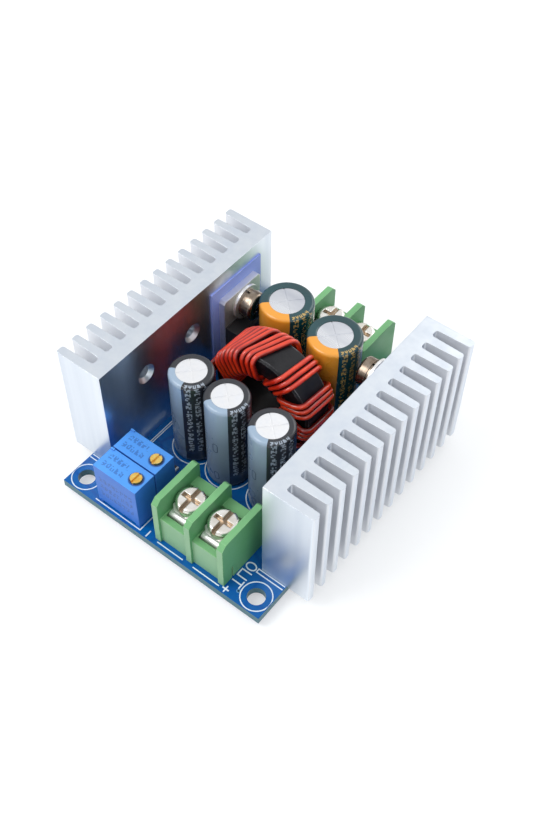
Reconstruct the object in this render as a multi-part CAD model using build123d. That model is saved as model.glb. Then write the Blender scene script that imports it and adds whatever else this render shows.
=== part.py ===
from build123d import *
from math import cos, sin, radians, degrees
import os

# Buck converter module: a circuit board between two finned heatsinks that stand on it.
# X runs across the board, Y along it from the output end to the input end, Z up.
# Z = 0 is the plane of the four heatsink pin tips that the module rests on.
# All sizes are in millimetres.

# Board
BOARD_W = 44.0
BOARD_L = 60.0
BOARD_T = 1.6
TIP_DROP = 1.0
CORNER_HOLE_R = 1.6
CORNER_INSET_X = 2.8
CORNER_INSET_Y = 3.0
BOARD_TOP = TIP_DROP + BOARD_T
CUT_PAST = 1.0

# Leads and solder
LEAD_SHORT = 0.15
SOLDER_SHORT = 0.35
HOLE_GAP = 0.12
SOLDER_GAP = 0.02
SOLDER_RIM = 0.12
PAD_WIDE = 0.55
TRACK_T = 0.12

# Print on the board
PRINT_T = 0.05
PRINT_W = 0.2
RING_R = 2.72
PRINT_EDGE = 0.15
LETTER_H = 2.1
LETTER_W = 1.6
LETTER_STEP = 1.9
LETTER_STROKE = 0.24
LETTER_SLANT = 35
WORD_IN = 3.49
PRINT_GAP = 0.4
SINK_MARK = 0.7
SINK_MARK_IN = 0.45
SIDE_MARK_X = 1.1
SIDE_MARK_Y0 = 7.5
SIDE_MARK_Y1 = 15.3

# Heatsinks
SINK_SHORT = 7.5
SINK_L = BOARD_L - 2 * SINK_SHORT
SINK_D = 9.7
SINK_H = 24.4
SINK_BASE = 3.1
SINK_SPAN = 53.0
FINS = 14
FIN_ROOT = 1.8
FIN_TIP = 1.4
SLOT_ROUND = 0.45
TIP_ROUND = 0.45
NEAR_ENOUGH = 0.05
SINK_HOLE_R = 1.25
SINK_HOLE_STEP = 12.1
SINK_HOLE_Z = 16.2
SINK_HOLE_DEEP = 0.7
COUNTERSINK = 0.7
PIN_R = 0.75
PIN_IN = 4.0
PIN_Y = 16.0
SINK_FACE = SINK_SPAN / 2 - SINK_D

# Insulating pads and power devices
SHEET_T = 0.3
SHEET_W = 13.8
SHEET_H = 18.0
SHEET_OVER = 2.5
TAB_W = 10.2
TAB_T = 1.3
TAB_L = 15.6
TAB_ABOVE = 2.8
TAB_HOLE_R = 1.85
TAB_CHAMFER = 0.5
CASE_L = 9.2
CASE_T = 3.2
CASE_W = 10.0
CASE_CHAMFER = 0.4
LEG_W = 0.8
LEG_SHOULDER_W = 1.28
LEG_TAIL_W = 0.64
LEG_T = 0.5
LEG_STEP = 2.54
LEG_OUT = 1.2

# Screws that hold the power devices
BOLT_R = 1.2
BOLT_GRIP = 2.6
BOLT_HEAD_R = 2.75
BOLT_HEAD_H = 1.9
BOLT_HOLE_GAP = 0.1
BUSH_FLANGE_R = 2.9
BUSH_FLANGE_T = 0.6
BUSH_WALL = 0.45
FLAT_R = 3.4
FLAT_T = 0.5
SPRING_R = 2.6
SPRING_T = 0.7
SPRING_CUT = 0.5
CROSS_W = 0.8
CROSS_L = 3.2
CROSS_DEEP = 0.9

# Inductor
CORE_R = 10.15
CORE_BORE_R = 6.3
CORE_W = 6.4
CORE_CHAMFER = 0.35
CORE_X = -0.4
CORE_Y = 2.0
CORE_Z = 11.4
WIRE_D = 0.91
WIRE_STEP = 1.14
WIRE_OFF = 0.13
WIRE_BULGE = 0.55
WIRE_BEND = 1.2
STRANDS = 3
NEAR_ANGLES = [172, 146, 126, 104, 58, 24, -8, -40]
FAR_ANGLES = [165, 128, 109, 86, 53, 20, -13, -46]
BORE_ANGLES = [167, 134, 101, 68, 35, 2, -31, -64]
END_LEAD_STEP = 1.25
END_LEAD_UP = 1.6
END_LEAD_SHIFT = 0.7

# Electrolytic capacitors
SLIM_R = 4.0
SLIM_H = 20.8
SLIM_LEADS = 3.5
WIDE_H = 20.6
WIDE_LEADS = 5.0
SLIM_PLACES = [(-8.6, -9.5), (-0.5, -9.95), (9.1, -10.2)]
WIDE_FULL_R = 4.95
WIDE_LEFT_GAP = 0.45
WIDE_MID_GAP = 1.5
WIDE_RIGHT_GAP = 1.25
DEVICE_REACH = SHEET_T + TAB_T + BUSH_FLANGE_T + FLAT_T + SPRING_T + BOLT_HEAD_H
ROOM = SINK_FACE - DEVICE_REACH
WIDE_R = min(WIDE_FULL_R, (2 * ROOM - WIDE_LEFT_GAP - WIDE_MID_GAP - WIDE_RIGHT_GAP) / 4)
WIDE_PLACES = [(WIDE_LEFT_GAP + WIDE_R - ROOM, 13.4), (ROOM - WIDE_RIGHT_GAP - WIDE_R, 12.2)]
SLEEVE_T = 0.16
SLEEVE_LIFT = 0.3
SLEEVE_GAP = 0.03
CAN_LIP = 1.0
CAN_TOP_DROP = 0.1
CAN_LIFT = 0.5
CAN_WALL = 0.4
CRIMP_UP = 2.2
CRIMP_W = 0.8
CRIMP_DEEP = 0.35
VENT_W = 0.2
VENT_DEEP = 0.08
VENT_TURN = 48
BUNG_H = 2.0
CAP_LEAD_R = 0.3

# Trimmers
TRIM_L = 9.5
TRIM_W = 4.7
TRIM_H = 10.1
TRIM_WALL = 0.6
TRIM_TOP = 1.0
TRIM_FOOT = 0.35
TRIM_FOOT_L = 0.9
TRIM_FROM_SINK = 2.5
TRIM_X = TRIM_FROM_SINK + TRIM_L / 2 - SINK_FACE
TRIM_FRONT_Y = -26.6
TRIM_STEP = 5.0
TRIM_NIB = 0.4
TRIM_NIB_L = 0.8
SCREW_SIDE = 2.95
SCREW_HEAD_R = 1.05
SCREW_HEAD_UP = 0.5
SCREW_SLOT = 0.35
SCREW_SLOT_DEEP = 0.4
WORM_R = 0.8
WORM_LOW = 1.6
RUN_GAP = 0.05
WHEEL_R = 2.5
WHEEL_T = 1.1
WHEEL_TEETH = 31
WHEEL_TOOTH = 0.18
WHEEL_GAP = 0.12
WHEEL_Z = 5.2
WHEEL_PIN_R = 0.6
SEAL_T = 1.0
SEAL_GAP = 0.02
ELEMENT_T = 0.5
ELEMENT_L = 6.4
ELEMENT_H = 6.6
TRIM_PIN_R = 0.25
TRIM_PIN_STEP = 2.54

# Terminal blocks
TERM_STEP = 6.9
TERM_WALL = 1.2
TERM_DEEP = 10.8
TERM_H = 11.5
TERM_NOSE = 1.0
TERM_HEEL = 0.5
TERM_SETBACK = 0.5
LEDGE_H = 6.6
BACK_H = 8.0
BACK_Y = 8.2
WELL_X = 5.2
WELL_Y0 = 1.7
WELL_Y1 = 8.1
WELL_FLOOR = 1.6
SHOULDER_Y = 7.2
PLATE_W = 4.8
PLATE_T = 0.7
PLATE_TOP = 7.0
PLATE_Y0 = 1.95
PLATE_BEND = 1.0
PLATE_PIN_W = 1.3
TERM_SCREW_Y = 5.2
TERM_SHANK_R = 1.5
TERM_SHANK_L = 5.6
TERM_HEAD_R = 2.65
TERM_HEAD_H = 2.0
TERM_HEAD_ROUND = 0.6
TERM_SLOT_W = 0.85
TERM_SLOT_DEEP = 0.9
TERM_CROSS_L = 3.6
CLAMP_X = 5.2
CLAMP_Y = 5.2
CLAMP_T = 0.8
CLAMP_CHAMFER = 0.9
SLOT_MARK_W = 0.35
SLOT_MARK_H = 3.2
SLOT_MARK_Y = 2.2
OUT_X = 6.3
OUT_FRONT = -28.9
IN_X = -0.15
IN_FRONT = 29.4

# Small parts on the board
CHIP_T = 1.35
CHIP_W = 3.9
CHIP_LIFT = 0.15
CHIP_PIN_W = 0.42
CHIP_PIN_T = 0.2
CHIP_PIN_OUT = 1.0
CHIP_PIN_STEP = 1.27
CONTROLLER_PINS = 7
CONTROLLER_FROM_SINK = 3.6
CONTROLLER_X = SINK_FACE - CONTROLLER_FROM_SINK
CONTROLLER_Y = -1.0
AMPLIFIER_PINS = 4
AMPLIFIER_X = 12.4
AMPLIFIER_Y = 25.4
SHUNT_L = 6.4
SHUNT_W = 3.1
SHUNT_T = 0.6
SHUNT_FROM_SINK = 4.4
SHUNT_X = SINK_FACE - SHUNT_FROM_SINK
SHUNT_Y = -16.1
RESISTOR_L = 2.0
RESISTOR_W = 1.25
RESISTOR_T = 0.55
RESISTOR_FROM_SINK = 3.4
RESISTOR_PLACES = [(-11.5, -16.2), (-8.6, -16.2), (-5.6, -16.2),
                   (RESISTOR_FROM_SINK - SINK_FACE, 1.5), (RESISTOR_FROM_SINK - SINK_FACE, 4.0)]


def box(x0, x1, y0, y1, z0, z1):
    """Block between two corners."""
    return Pos((x0 + x1) / 2, (y0 + y1) / 2, (z0 + z1) / 2) * Box(x1 - x0, y1 - y0, z1 - z0)


def slab(x, y, z0, z1, wide, deep):
    """Block standing on z0, centred on x and y."""
    return box(x - wide / 2, x + wide / 2, y - deep / 2, y + deep / 2, z0, z1)


def rod(x, y, z0, z1, radius):
    """Upright cylinder."""
    return Pos(x, y, (z0 + z1) / 2) * Cylinder(radius, z1 - z0)


def rod_x(x0, x1, y, z, radius):
    """Cylinder along X."""
    return Pos((x0 + x1) / 2, y, z) * Rot(0, 90, 0) * Cylinder(radius, abs(x1 - x0))


def rod_y(x, y0, y1, z, radius):
    """Cylinder along Y."""
    return Pos(x, (y0 + y1) / 2, z) * Rot(90, 0, 0) * Cylinder(radius, abs(y1 - y0))


def save(name, *solids):
    """Write one node from one solid or a group of separate solids."""
    shape = solids[0] if len(solids) == 1 else Compound(children=list(solids))
    export_step(shape, f"parts/{name}.step")


# Places that several pieces share

def corner_holes():
    x = BOARD_W / 2 - CORNER_INSET_X
    y = BOARD_L / 2 - CORNER_INSET_Y
    return [(sx * x, sy * y) for sx in (-1, 1) for sy in (-1, 1)]


def pin_places():
    x = SINK_FACE + SINK_BASE / 2
    return [(sx * x, sy * PIN_Y) for sx in (-1, 1) for sy in (-1, 1)]


def leg_places():
    x = SINK_FACE - SHEET_T - TAB_T - LEG_OUT
    ys = [SINK_HOLE_STEP + k * LEG_STEP for k in (-1, 0, 1)]
    return [(sx * x, y) for sx in (-1, 1) for y in ys]


def cap_lead_places():
    slim = [(x + s * SLIM_LEADS / 2, y) for x, y in SLIM_PLACES for s in (-1, 1)]
    wide = [(x + s * WIDE_LEADS / 2, y) for x, y in WIDE_PLACES for s in (-1, 1)]
    return slim + wide


def trimmer_centres():
    return [(TRIM_X, TRIM_FRONT_Y), (TRIM_X, TRIM_FRONT_Y + TRIM_STEP)]


def trimmer_pin_places():
    return [(x + k * TRIM_PIN_STEP, y - TRIM_W / 4) for x, y in trimmer_centres() for k in (-1, 0, 1)]


def plate_pin_places():
    y = PLATE_Y0 + PLATE_T / 2
    out = [(OUT_X + s * TERM_STEP / 2, OUT_FRONT + y) for s in (-1, 1)]
    back = [(IN_X + s * TERM_STEP / 2, IN_FRONT - y) for s in (-1, 1)]
    return out + back


def strand_offsets():
    return [k - (STRANDS - 1) / 2 for k in range(STRANDS)]


# Winding

def core_point(radius, angle, y):
    """Point at an angle round the core's own axis."""
    a = radians(angle)
    return (CORE_X + radius * cos(a), y, BOARD_TOP + CORE_Z + radius * sin(a))


def winding_frame():
    reach = CORE_W / 2 + WIRE_D / 2 + WIRE_BULGE
    outer = CORE_R + WIRE_D / 2 + WIRE_OFF
    inner = CORE_BORE_R - WIRE_D / 2 - WIRE_OFF
    return CORE_Y - reach, CORE_Y + reach, outer, inner


def start_lead(offset):
    """Point where a strand's first lead turns onto the core."""
    near, far, outer, inner = winding_frame()
    angle = NEAR_ANGLES[0] + offset * degrees(WIRE_STEP / outer)
    layer = (STRANDS - 1) / 2 - offset
    x, y, z = core_point(outer, angle, near - layer * WIRE_STEP)
    return x, y, z


def end_lead(offset):
    """Place on the board of a strand's last lead."""
    near, far, outer, inner = winding_frame()
    x = CORE_X + inner * cos(radians(BORE_ANGLES[-1])) + END_LEAD_SHIFT + offset * END_LEAD_STEP
    return x, near


def strand_points(offset):
    near, far, outer, inner = winding_frame()
    on_rim = offset * degrees(WIRE_STEP / outer)
    in_bore = offset * degrees(WIRE_STEP / inner)
    x, y, z = start_lead(offset)
    points = [(x, y, LEAD_SHORT), (x, y, z)]
    for turn, (a, b, c) in enumerate(zip(NEAR_ANGLES, FAR_ANGLES, BORE_ANGLES)):
        if turn > 0:
            points.append(core_point(outer, a + on_rim, near))
        points.append(core_point(outer, b + on_rim, far))
        points.append(core_point(inner, c + in_bore, far))
        points.append(core_point(inner, c + in_bore, near))
    x, y = end_lead(offset)
    points.append((x, y, BOARD_TOP + END_LEAD_UP))
    points.append((x, y, LEAD_SHORT))
    return points


def strand(offset):
    path = FilletPolyline(*strand_points(offset), radius=WIRE_BEND)
    section = Plane(origin=path @ 0, z_dir=path % 0) * Circle(WIRE_D / 2)
    return sweep(section, path=path)


def inductor_core():
    ring = Cylinder(CORE_R, CORE_W) - Cylinder(CORE_BORE_R, CORE_W)
    ring = chamfer(ring.edges().filter_by(GeomType.CIRCLE), CORE_CHAMFER)
    return Pos(CORE_X, CORE_Y, BOARD_TOP + CORE_Z) * Rot(90, 0, 0) * ring


def winding_lead_groups():
    """The strands' first leads and their last leads, each soldered as one group."""
    return [[start_lead(k)[:2] for k in strand_offsets()], [end_lead(k) for k in strand_offsets()]]


# Board, print, solder and tracks

def single_leads():
    """Leads that stand alone in their plated hole: x, y and the lead's radius."""
    holes = [(x, y, PIN_R) for x, y in pin_places()]
    holes += [(x, y, LEG_W / 2) for x, y in leg_places()]
    holes += [(x, y, CAP_LEAD_R) for x, y in cap_lead_places()]
    holes += [(x, y, TRIM_PIN_R) for x, y in trimmer_pin_places()]
    return holes + [(x, y, PLATE_PIN_W / 2) for x, y in plate_pin_places()]


def solder_groups():
    """Leads that share one joint of solder."""
    wires = [[(x, y, WIRE_D / 2) for x, y in group] for group in winding_lead_groups()]
    return [[lead] for lead in single_leads()] + wires


def lead_holes():
    return [lead for group in solder_groups() for lead in group]


def board():
    plate = box(-BOARD_W / 2, BOARD_W / 2, -BOARD_L / 2, BOARD_L / 2, TIP_DROP, BOARD_TOP)
    cuts = [rod(x, y, 0, BOARD_TOP + CUT_PAST, CORNER_HOLE_R) for x, y in corner_holes()]
    cuts += [rod(x, y, 0, BOARD_TOP + CUT_PAST, r + HOLE_GAP) for x, y, r in lead_holes()]
    return plate - cuts


def solder_joint(leads):
    """Cone of solder round each lead under the board, fused where leads stand close."""
    height = TIP_DROP - SOLDER_SHORT
    z = SOLDER_SHORT + height / 2
    cones = [Pos(x, y, z) * Cone(r + SOLDER_RIM, r + PAD_WIDE, height) for x, y, r in leads]
    joint = cones[0]
    for cone in cones[1:]:
        joint += cone
    return joint - [rod(x, y, 0, BOARD_TOP, r + SOLDER_GAP) for x, y, r in leads]


def bar(x0, y0, x1, y1, wide=PRINT_W):
    """Straight printed line on the board along X or Y."""
    ex = wide / 2
    return box(min(x0, x1) - ex, max(x0, x1) + ex, min(y0, y1) - ex, max(y0, y1) + ex,
               BOARD_TOP, BOARD_TOP + PRINT_T)


def ring(x, y, radius, wide=PRINT_W):
    z = BOARD_TOP + PRINT_T / 2
    return Pos(x, y, z) * (Cylinder(radius + wide / 2, PRINT_T) - Cylinder(radius - wide / 2, PRINT_T))


def letter_o(x, y):
    z = BOARD_TOP + PRINT_T / 2
    outer = extrude(Ellipse(LETTER_H / 2, LETTER_W / 2), PRINT_T / 2, both=True)
    inner = extrude(Ellipse(LETTER_H / 2 - LETTER_STROKE, LETTER_W / 2 - LETTER_STROKE), PRINT_T, both=True)
    return Pos(x, y, z) * (outer - inner)


def letter_u(x, y):
    """Letter with its foot towards -X, as the word is read from the heatsink side."""
    low, high = x - LETTER_H / 2, x + LETTER_H / 2
    side = LETTER_W / 2 - LETTER_STROKE / 2
    inset = LETTER_STROKE / 2
    return (bar(low + inset, y - side, high - inset, y - side, LETTER_STROKE)
            + bar(low + inset, y + side, high - inset, y + side, LETTER_STROKE)
            + bar(low + inset, y - side, low + inset, y + side, LETTER_STROKE))


def letter_t(x, y):
    low, high = x - LETTER_H / 2, x + LETTER_H / 2
    inset = LETTER_STROKE / 2
    return (bar(low + inset, y, high - inset, y, LETTER_STROKE)
            + bar(high - inset, y - LETTER_W / 2 + inset, high - inset, y + LETTER_W / 2 - inset, LETTER_STROKE))


def letter_i(x, y):
    inset = LETTER_STROKE / 2
    return bar(x - LETTER_H / 2 + inset, y, x + LETTER_H / 2 - inset, y, LETTER_STROKE)


def letter_n(x, y):
    side = LETTER_W / 2 - LETTER_STROKE / 2
    low, high = x - LETTER_H / 2, x + LETTER_H / 2
    inset = LETTER_STROKE / 2
    slant = Pos(x, y, BOARD_TOP + PRINT_T / 2) * Rot(0, 0, LETTER_SLANT) * Box(LETTER_H, LETTER_STROKE, PRINT_T)
    frame = box(low, high, y - LETTER_W / 2, y + LETTER_W / 2, BOARD_TOP, BOARD_TOP + PRINT_T)
    return (bar(low + inset, y - side, high - inset, y - side, LETTER_STROKE)
            + bar(low + inset, y + side, high - inset, y + side, LETTER_STROKE) + (slant & frame))


def plus_mark(x, y):
    arm = LETTER_W / 3
    return bar(x - arm, y, x + arm, y, LETTER_STROKE) + bar(x, y - arm, x, y + arm, LETTER_STROKE)


def minus_mark(x, y):
    arm = LETTER_W / 3
    return bar(x, y - arm, x, y + arm, LETTER_STROKE)


def terminal_print(x, front, side):
    """Bracket of lines round the wire side of a terminal block, side is the way it faces."""
    reach = TERM_STEP + TERM_WALL / 2 + PRINT_GAP
    y = front + side * PRINT_GAP
    gap = TERM_WALL
    return [bar(x - reach + gap, y, x - gap, y), bar(x + gap, y, x + reach - gap, y)]


def cap_rings(places, radius):
    """Ring round each capacitor, cut off where it would run into the next one."""
    rings = []
    for k, (x, y) in enumerate(places):
        line = ring(x, y, radius)
        for other_x, other_y in places[k + 1:]:
            line -= rod(other_x, other_y, BOARD_TOP, BOARD_TOP + PRINT_T, radius + PRINT_W)
        rings.append(line)
    return rings


def sink_end_mark(side, end, edge_x):
    """Outline beyond a heatsink's end, open towards the board's edge."""
    inner = side * (SINK_FACE - SINK_MARK_IN)
    near = end * (SINK_L / 2 + PRINT_GAP / 2 + SINK_MARK)
    far = end * (SINK_L / 2 + PRINT_GAP / 2)
    x = side * (edge_x - PRINT_W / 2)
    return bar(inner, near, x, near) + bar(inner, far, x, far) + bar(inner, near, inner, far)


def printed_legend():
    edge_x = BOARD_W / 2 - PRINT_EDGE
    edge_y = BOARD_L / 2 - PRINT_EDGE
    area = box(-edge_x, edge_x, -edge_y, edge_y, BOARD_TOP, BOARD_TOP + PRINT_T)
    marks = [ring(x, y, RING_R) & area for x, y in corner_holes()]
    marks += [sink_end_mark(side, end, edge_x) for side in (-1, 1) for end in (-1, 1)]
    side_x = SIDE_MARK_X - SINK_FACE
    marks += [bar(x, -SIDE_MARK_Y0, x, -SIDE_MARK_Y1) for x in (side_x, side_x + PRINT_GAP)]
    marks += cap_rings(SLIM_PLACES, SLIM_R + PRINT_GAP) + cap_rings(WIDE_PLACES[1:], WIDE_R + PRINT_GAP)
    marks += terminal_print(OUT_X, OUT_FRONT, -1)
    marks += terminal_print(IN_X, IN_FRONT, 1)
    left = TRIM_X - TRIM_L / 2 - PRINT_GAP
    right = TRIM_X + TRIM_L / 2 + PRINT_GAP
    low = TRIM_FRONT_Y - TRIM_W / 2 - PRINT_GAP
    marks.append(bar(left, low, right, low) + bar(right, low, right, low + TRIM_W))
    word_x = OUT_X + TERM_STEP + TERM_WALL / 2 + PRINT_GAP / 2 + LETTER_H / 2
    word_y = TRIM_FRONT_Y + WORD_IN
    marks.append(letter_o(word_x, word_y))
    marks.append(letter_u(word_x, word_y - LETTER_STEP))
    marks.append(letter_t(word_x, word_y - 2 * LETTER_STEP))
    in_x = IN_X - TERM_STEP - TERM_WALL / 2 - PRINT_GAP - LETTER_H / 2
    marks.append(letter_i(in_x, -word_y))
    marks.append(letter_n(in_x, -word_y - LETTER_STEP))
    sign_y = BOARD_L / 2 - LETTER_W / 2 - PRINT_EDGE
    marks.append(plus_mark(word_x - LETTER_H / 3, -sign_y))
    marks.append(minus_mark(right + LETTER_W, -sign_y))
    marks.append(plus_mark(in_x, sign_y))
    return marks


def tracks():
    """Tinned copper areas on the underside, cut round every lead."""
    z0, z1 = TIP_DROP - TRACK_T, TIP_DROP
    low = BOARD_L / 2 - 2 * CORNER_INSET_Y
    wide = SINK_FACE - TERM_WALL
    areas = [box(-wide, -PRINT_GAP, -low, -low / 3, z0, z1),
             box(PRINT_GAP, wide, -low, -low / 3, z0, z1),
             box(-wide, -PRINT_GAP, low / 3, low, z0, z1),
             box(PRINT_GAP, wide, low / 3, low, z0, z1)]
    cuts = [rod(x, y, 0, BOARD_TOP, r + PAD_WIDE + SOLDER_GAP) for x, y, r in lead_holes()]
    return [area - cuts for area in areas]


# Heatsinks and what is bolted to them

def fin_profile():
    """Section from the inner face at x = 0 to the fin tips."""
    pitch = (SINK_L - FIN_ROOT) / (FINS - 1)
    root = (pitch - FIN_ROOT) / 2
    tip = (pitch - FIN_TIP) / 2
    past = SINK_D + (SINK_D - SINK_BASE)
    wide = tip + (tip - root)
    face = Pos(SINK_D / 2, 0) * Rectangle(SINK_D, SINK_L)
    for k in range(FINS - 1):
        y = -SINK_L / 2 + FIN_ROOT / 2 + (k + 0.5) * pitch
        corners = [(SINK_BASE, y - root), (past, y - wide), (past, y + wide), (SINK_BASE, y + root)]
        face -= make_face(Polyline(*corners, close=True))
    roots = [v for v in face.vertices() if abs(v.X - SINK_BASE) < NEAR_ENOUGH]
    face = fillet(roots, SLOT_ROUND)
    tips = [v for v in face.vertices() if abs(v.X - SINK_D) < NEAR_ENOUGH]
    return fillet(tips, TIP_ROUND)


def heatsink():
    """Right-hand heatsink, the left one is this turned half round."""
    body = Pos(SINK_FACE, 0, BOARD_TOP) * extrude(fin_profile(), SINK_H)
    z = BOARD_TOP + SINK_HOLE_Z
    for k in (-1, 0, 1):
        y = k * SINK_HOLE_STEP
        body -= rod_x(SINK_FACE - CUT_PAST, SINK_FACE + SINK_BASE + SINK_HOLE_DEEP, y, z, SINK_HOLE_R)
        sink = Rot(0, 90, 0) * Cone(SINK_HOLE_R + COUNTERSINK, SINK_HOLE_R, COUNTERSINK)
        body -= Pos(SINK_FACE + COUNTERSINK / 2, y, z) * sink
    x = SINK_FACE + SINK_BASE / 2
    for side in (-1, 1):
        body -= rod(x, side * PIN_Y, BOARD_TOP - CUT_PAST, BOARD_TOP + PIN_IN, PIN_R + SOLDER_GAP)
    return body


def heatsink_pins():
    return [rod(x, y, 0, BOARD_TOP + PIN_IN, PIN_R) for x, y in pin_places()]


def stack():
    """Distances from the centre line to each layer bolted on the right-hand heatsink."""
    sheet = SINK_FACE - SHEET_T
    tab = sheet - TAB_T
    flange = tab - BUSH_FLANGE_T
    flat = flange - FLAT_T
    spring = flat - SPRING_T
    head = spring - BOLT_HEAD_H
    return sheet, tab, flange, flat, spring, head


def device_sheet():
    sheet = stack()[0]
    y, z = SINK_HOLE_STEP, BOARD_TOP + SINK_HOLE_Z
    top = z + TAB_ABOVE + SHEET_OVER
    plate = box(sheet, SINK_FACE, y - SHEET_W / 2, y + SHEET_W / 2, top - SHEET_H, top)
    return plate - rod_x(sheet - CUT_PAST, SINK_FACE + CUT_PAST, y, z, BOLT_R + BOLT_HOLE_GAP)


def device_tab():
    sheet, tab = stack()[:2]
    y, z = SINK_HOLE_STEP, BOARD_TOP + SINK_HOLE_Z
    top = z + TAB_ABOVE
    plate = box(tab, sheet, y - TAB_W / 2, y + TAB_W / 2, top - TAB_L, top)
    corners = plate.edges().filter_by(Axis.X).group_by(Axis.Z)[-1]
    plate = chamfer(corners, TAB_CHAMFER)
    return plate - rod_x(tab - CUT_PAST, sheet + CUT_PAST, y, z, TAB_HOLE_R)


def device_case():
    tab = stack()[1]
    y = SINK_HOLE_STEP
    bottom = BOARD_TOP + SINK_HOLE_Z + TAB_ABOVE - TAB_L
    case = box(tab - CASE_T, tab, y - CASE_W / 2, y + CASE_W / 2, bottom, bottom + CASE_L)
    front = case.faces().sort_by(Axis.X)[0]
    return chamfer(front.edges(), CASE_CHAMFER)


def device_legs():
    """Three straight leads below the case, each a shoulder and a thin tail."""
    tab = stack()[1]
    bottom = BOARD_TOP + SINK_HOLE_Z + TAB_ABOVE - TAB_L
    x = tab - LEG_OUT
    legs = []
    for k in (-1, 0, 1):
        y = SINK_HOLE_STEP + k * LEG_STEP
        shoulder = slab(x, y, BOARD_TOP + LEG_T, bottom, LEG_T, LEG_SHOULDER_W)
        legs.append(shoulder + slab(x, y, LEAD_SHORT, bottom, LEG_T, LEG_TAIL_W))
    return legs


def device_bush():
    tab, flange = stack()[1:3]
    sheet = stack()[0]
    y, z = SINK_HOLE_STEP, BOARD_TOP + SINK_HOLE_Z
    collar = rod_x(flange, tab, y, z, BUSH_FLANGE_R)
    neck = rod_x(tab, sheet, y, z, BOLT_R + BOLT_HOLE_GAP + BUSH_WALL)
    return collar + neck - rod_x(flange - CUT_PAST, sheet + CUT_PAST, y, z, BOLT_R + BOLT_HOLE_GAP)


def flat_washer():
    flange, flat = stack()[2:4]
    y, z = SINK_HOLE_STEP, BOARD_TOP + SINK_HOLE_Z
    hole = rod_x(flat - CUT_PAST, flange + CUT_PAST, y, z, BOLT_R + BOLT_HOLE_GAP)
    return rod_x(flat, flange, y, z, FLAT_R) - hole


def spring_washer():
    """Split ring, drawn flat under the head."""
    flat, spring = stack()[3:5]
    y, z = SINK_HOLE_STEP, BOARD_TOP + SINK_HOLE_Z
    x0, x1 = spring - CUT_PAST, flat + CUT_PAST
    hole = rod_x(x0, x1, y, z, BOLT_R + BOLT_HOLE_GAP)
    cut = box(x0, x1, y - SPRING_CUT / 2, y + SPRING_CUT / 2, z, z + SPRING_R + CUT_PAST)
    return rod_x(spring, flat, y, z, SPRING_R) - hole - cut


def device_bolt():
    spring, head = stack()[4:6]
    y, z = SINK_HOLE_STEP, BOARD_TOP + SINK_HOLE_Z
    cap = rod_x(head, spring, y, z, BOLT_HEAD_R)
    cap = fillet(cap.edges().sort_by(Axis.X)[0], BOLT_HEAD_H / 3)
    cap += rod_x(spring, SINK_FACE + BOLT_GRIP, y, z, BOLT_R)
    for wide, high in ((CROSS_L, CROSS_W), (CROSS_W, CROSS_L)):
        cap -= Pos(head, y, z) * Box(2 * CROSS_DEEP, wide, high)
    return cap


def mirrored(shape):
    """The same piece on the left-hand side, at the same place along the board."""
    return mirror(shape, Plane.YZ)


# Capacitors

def cap_can(x, y, radius, height):
    """Drawn can with its crimp groove and scored vent."""
    can_r = radius - SLEEVE_T - SLEEVE_GAP
    low, top = BOARD_TOP + CAN_LIFT, BOARD_TOP + height - CAN_TOP_DROP
    can = rod(x, y, low, top, can_r)
    can = fillet(can.edges().sort_by(Axis.Z)[-1], CAN_WALL)
    crimp = Pos(x, y, BOARD_TOP + CRIMP_UP) * Torus(can_r + CRIMP_W / 2 - CRIMP_DEEP, CRIMP_W / 2)
    can -= crimp
    reach = 2 * (can_r - CAN_LIP)
    for wide, deep in ((reach, VENT_W), (VENT_W, reach)):
        can -= Pos(x, y, top) * Rot(0, 0, VENT_TURN) * Box(wide, deep, 2 * VENT_DEEP)
    bung_r = can_r - CAN_WALL
    return can - rod(x, y, low - CUT_PAST, BOARD_TOP + BUNG_H, bung_r)


def cap_sleeve(x, y, radius, height):
    """Shrunk plastic sleeve with a lip over the top rim."""
    inner = radius - SLEEVE_T
    low, top = BOARD_TOP + SLEEVE_LIFT, BOARD_TOP + height
    tube = rod(x, y, low, top, radius)
    tube = fillet(tube.edges().sort_by(Axis.Z)[-1], CAN_WALL)
    bore = rod(x, y, low - CUT_PAST, top - CAN_TOP_DROP + SLEEVE_GAP, inner)
    bore = fillet(bore.edges().sort_by(Axis.Z)[-1], CAN_WALL - SLEEVE_GAP)
    return tube - bore - rod(x, y, low, top + CUT_PAST, inner - CAN_LIP)


def cap_bung(x, y, radius, spacing):
    bung_r = radius - SLEEVE_T - SLEEVE_GAP - CAN_WALL - SLEEVE_GAP
    bung = rod(x, y, BOARD_TOP, BOARD_TOP + BUNG_H - SLEEVE_GAP, bung_r)
    for s in (-1, 1):
        bung -= rod(x + s * spacing / 2, y, 0, BOARD_TOP + BUNG_H / 2, CAP_LEAD_R + SOLDER_GAP)
    return bung


def cap_leads():
    return [rod(x, y, LEAD_SHORT, BOARD_TOP + BUNG_H / 2, CAP_LEAD_R) for x, y in cap_lead_places()]


# Trimmers, built round their own centre on the board

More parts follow.
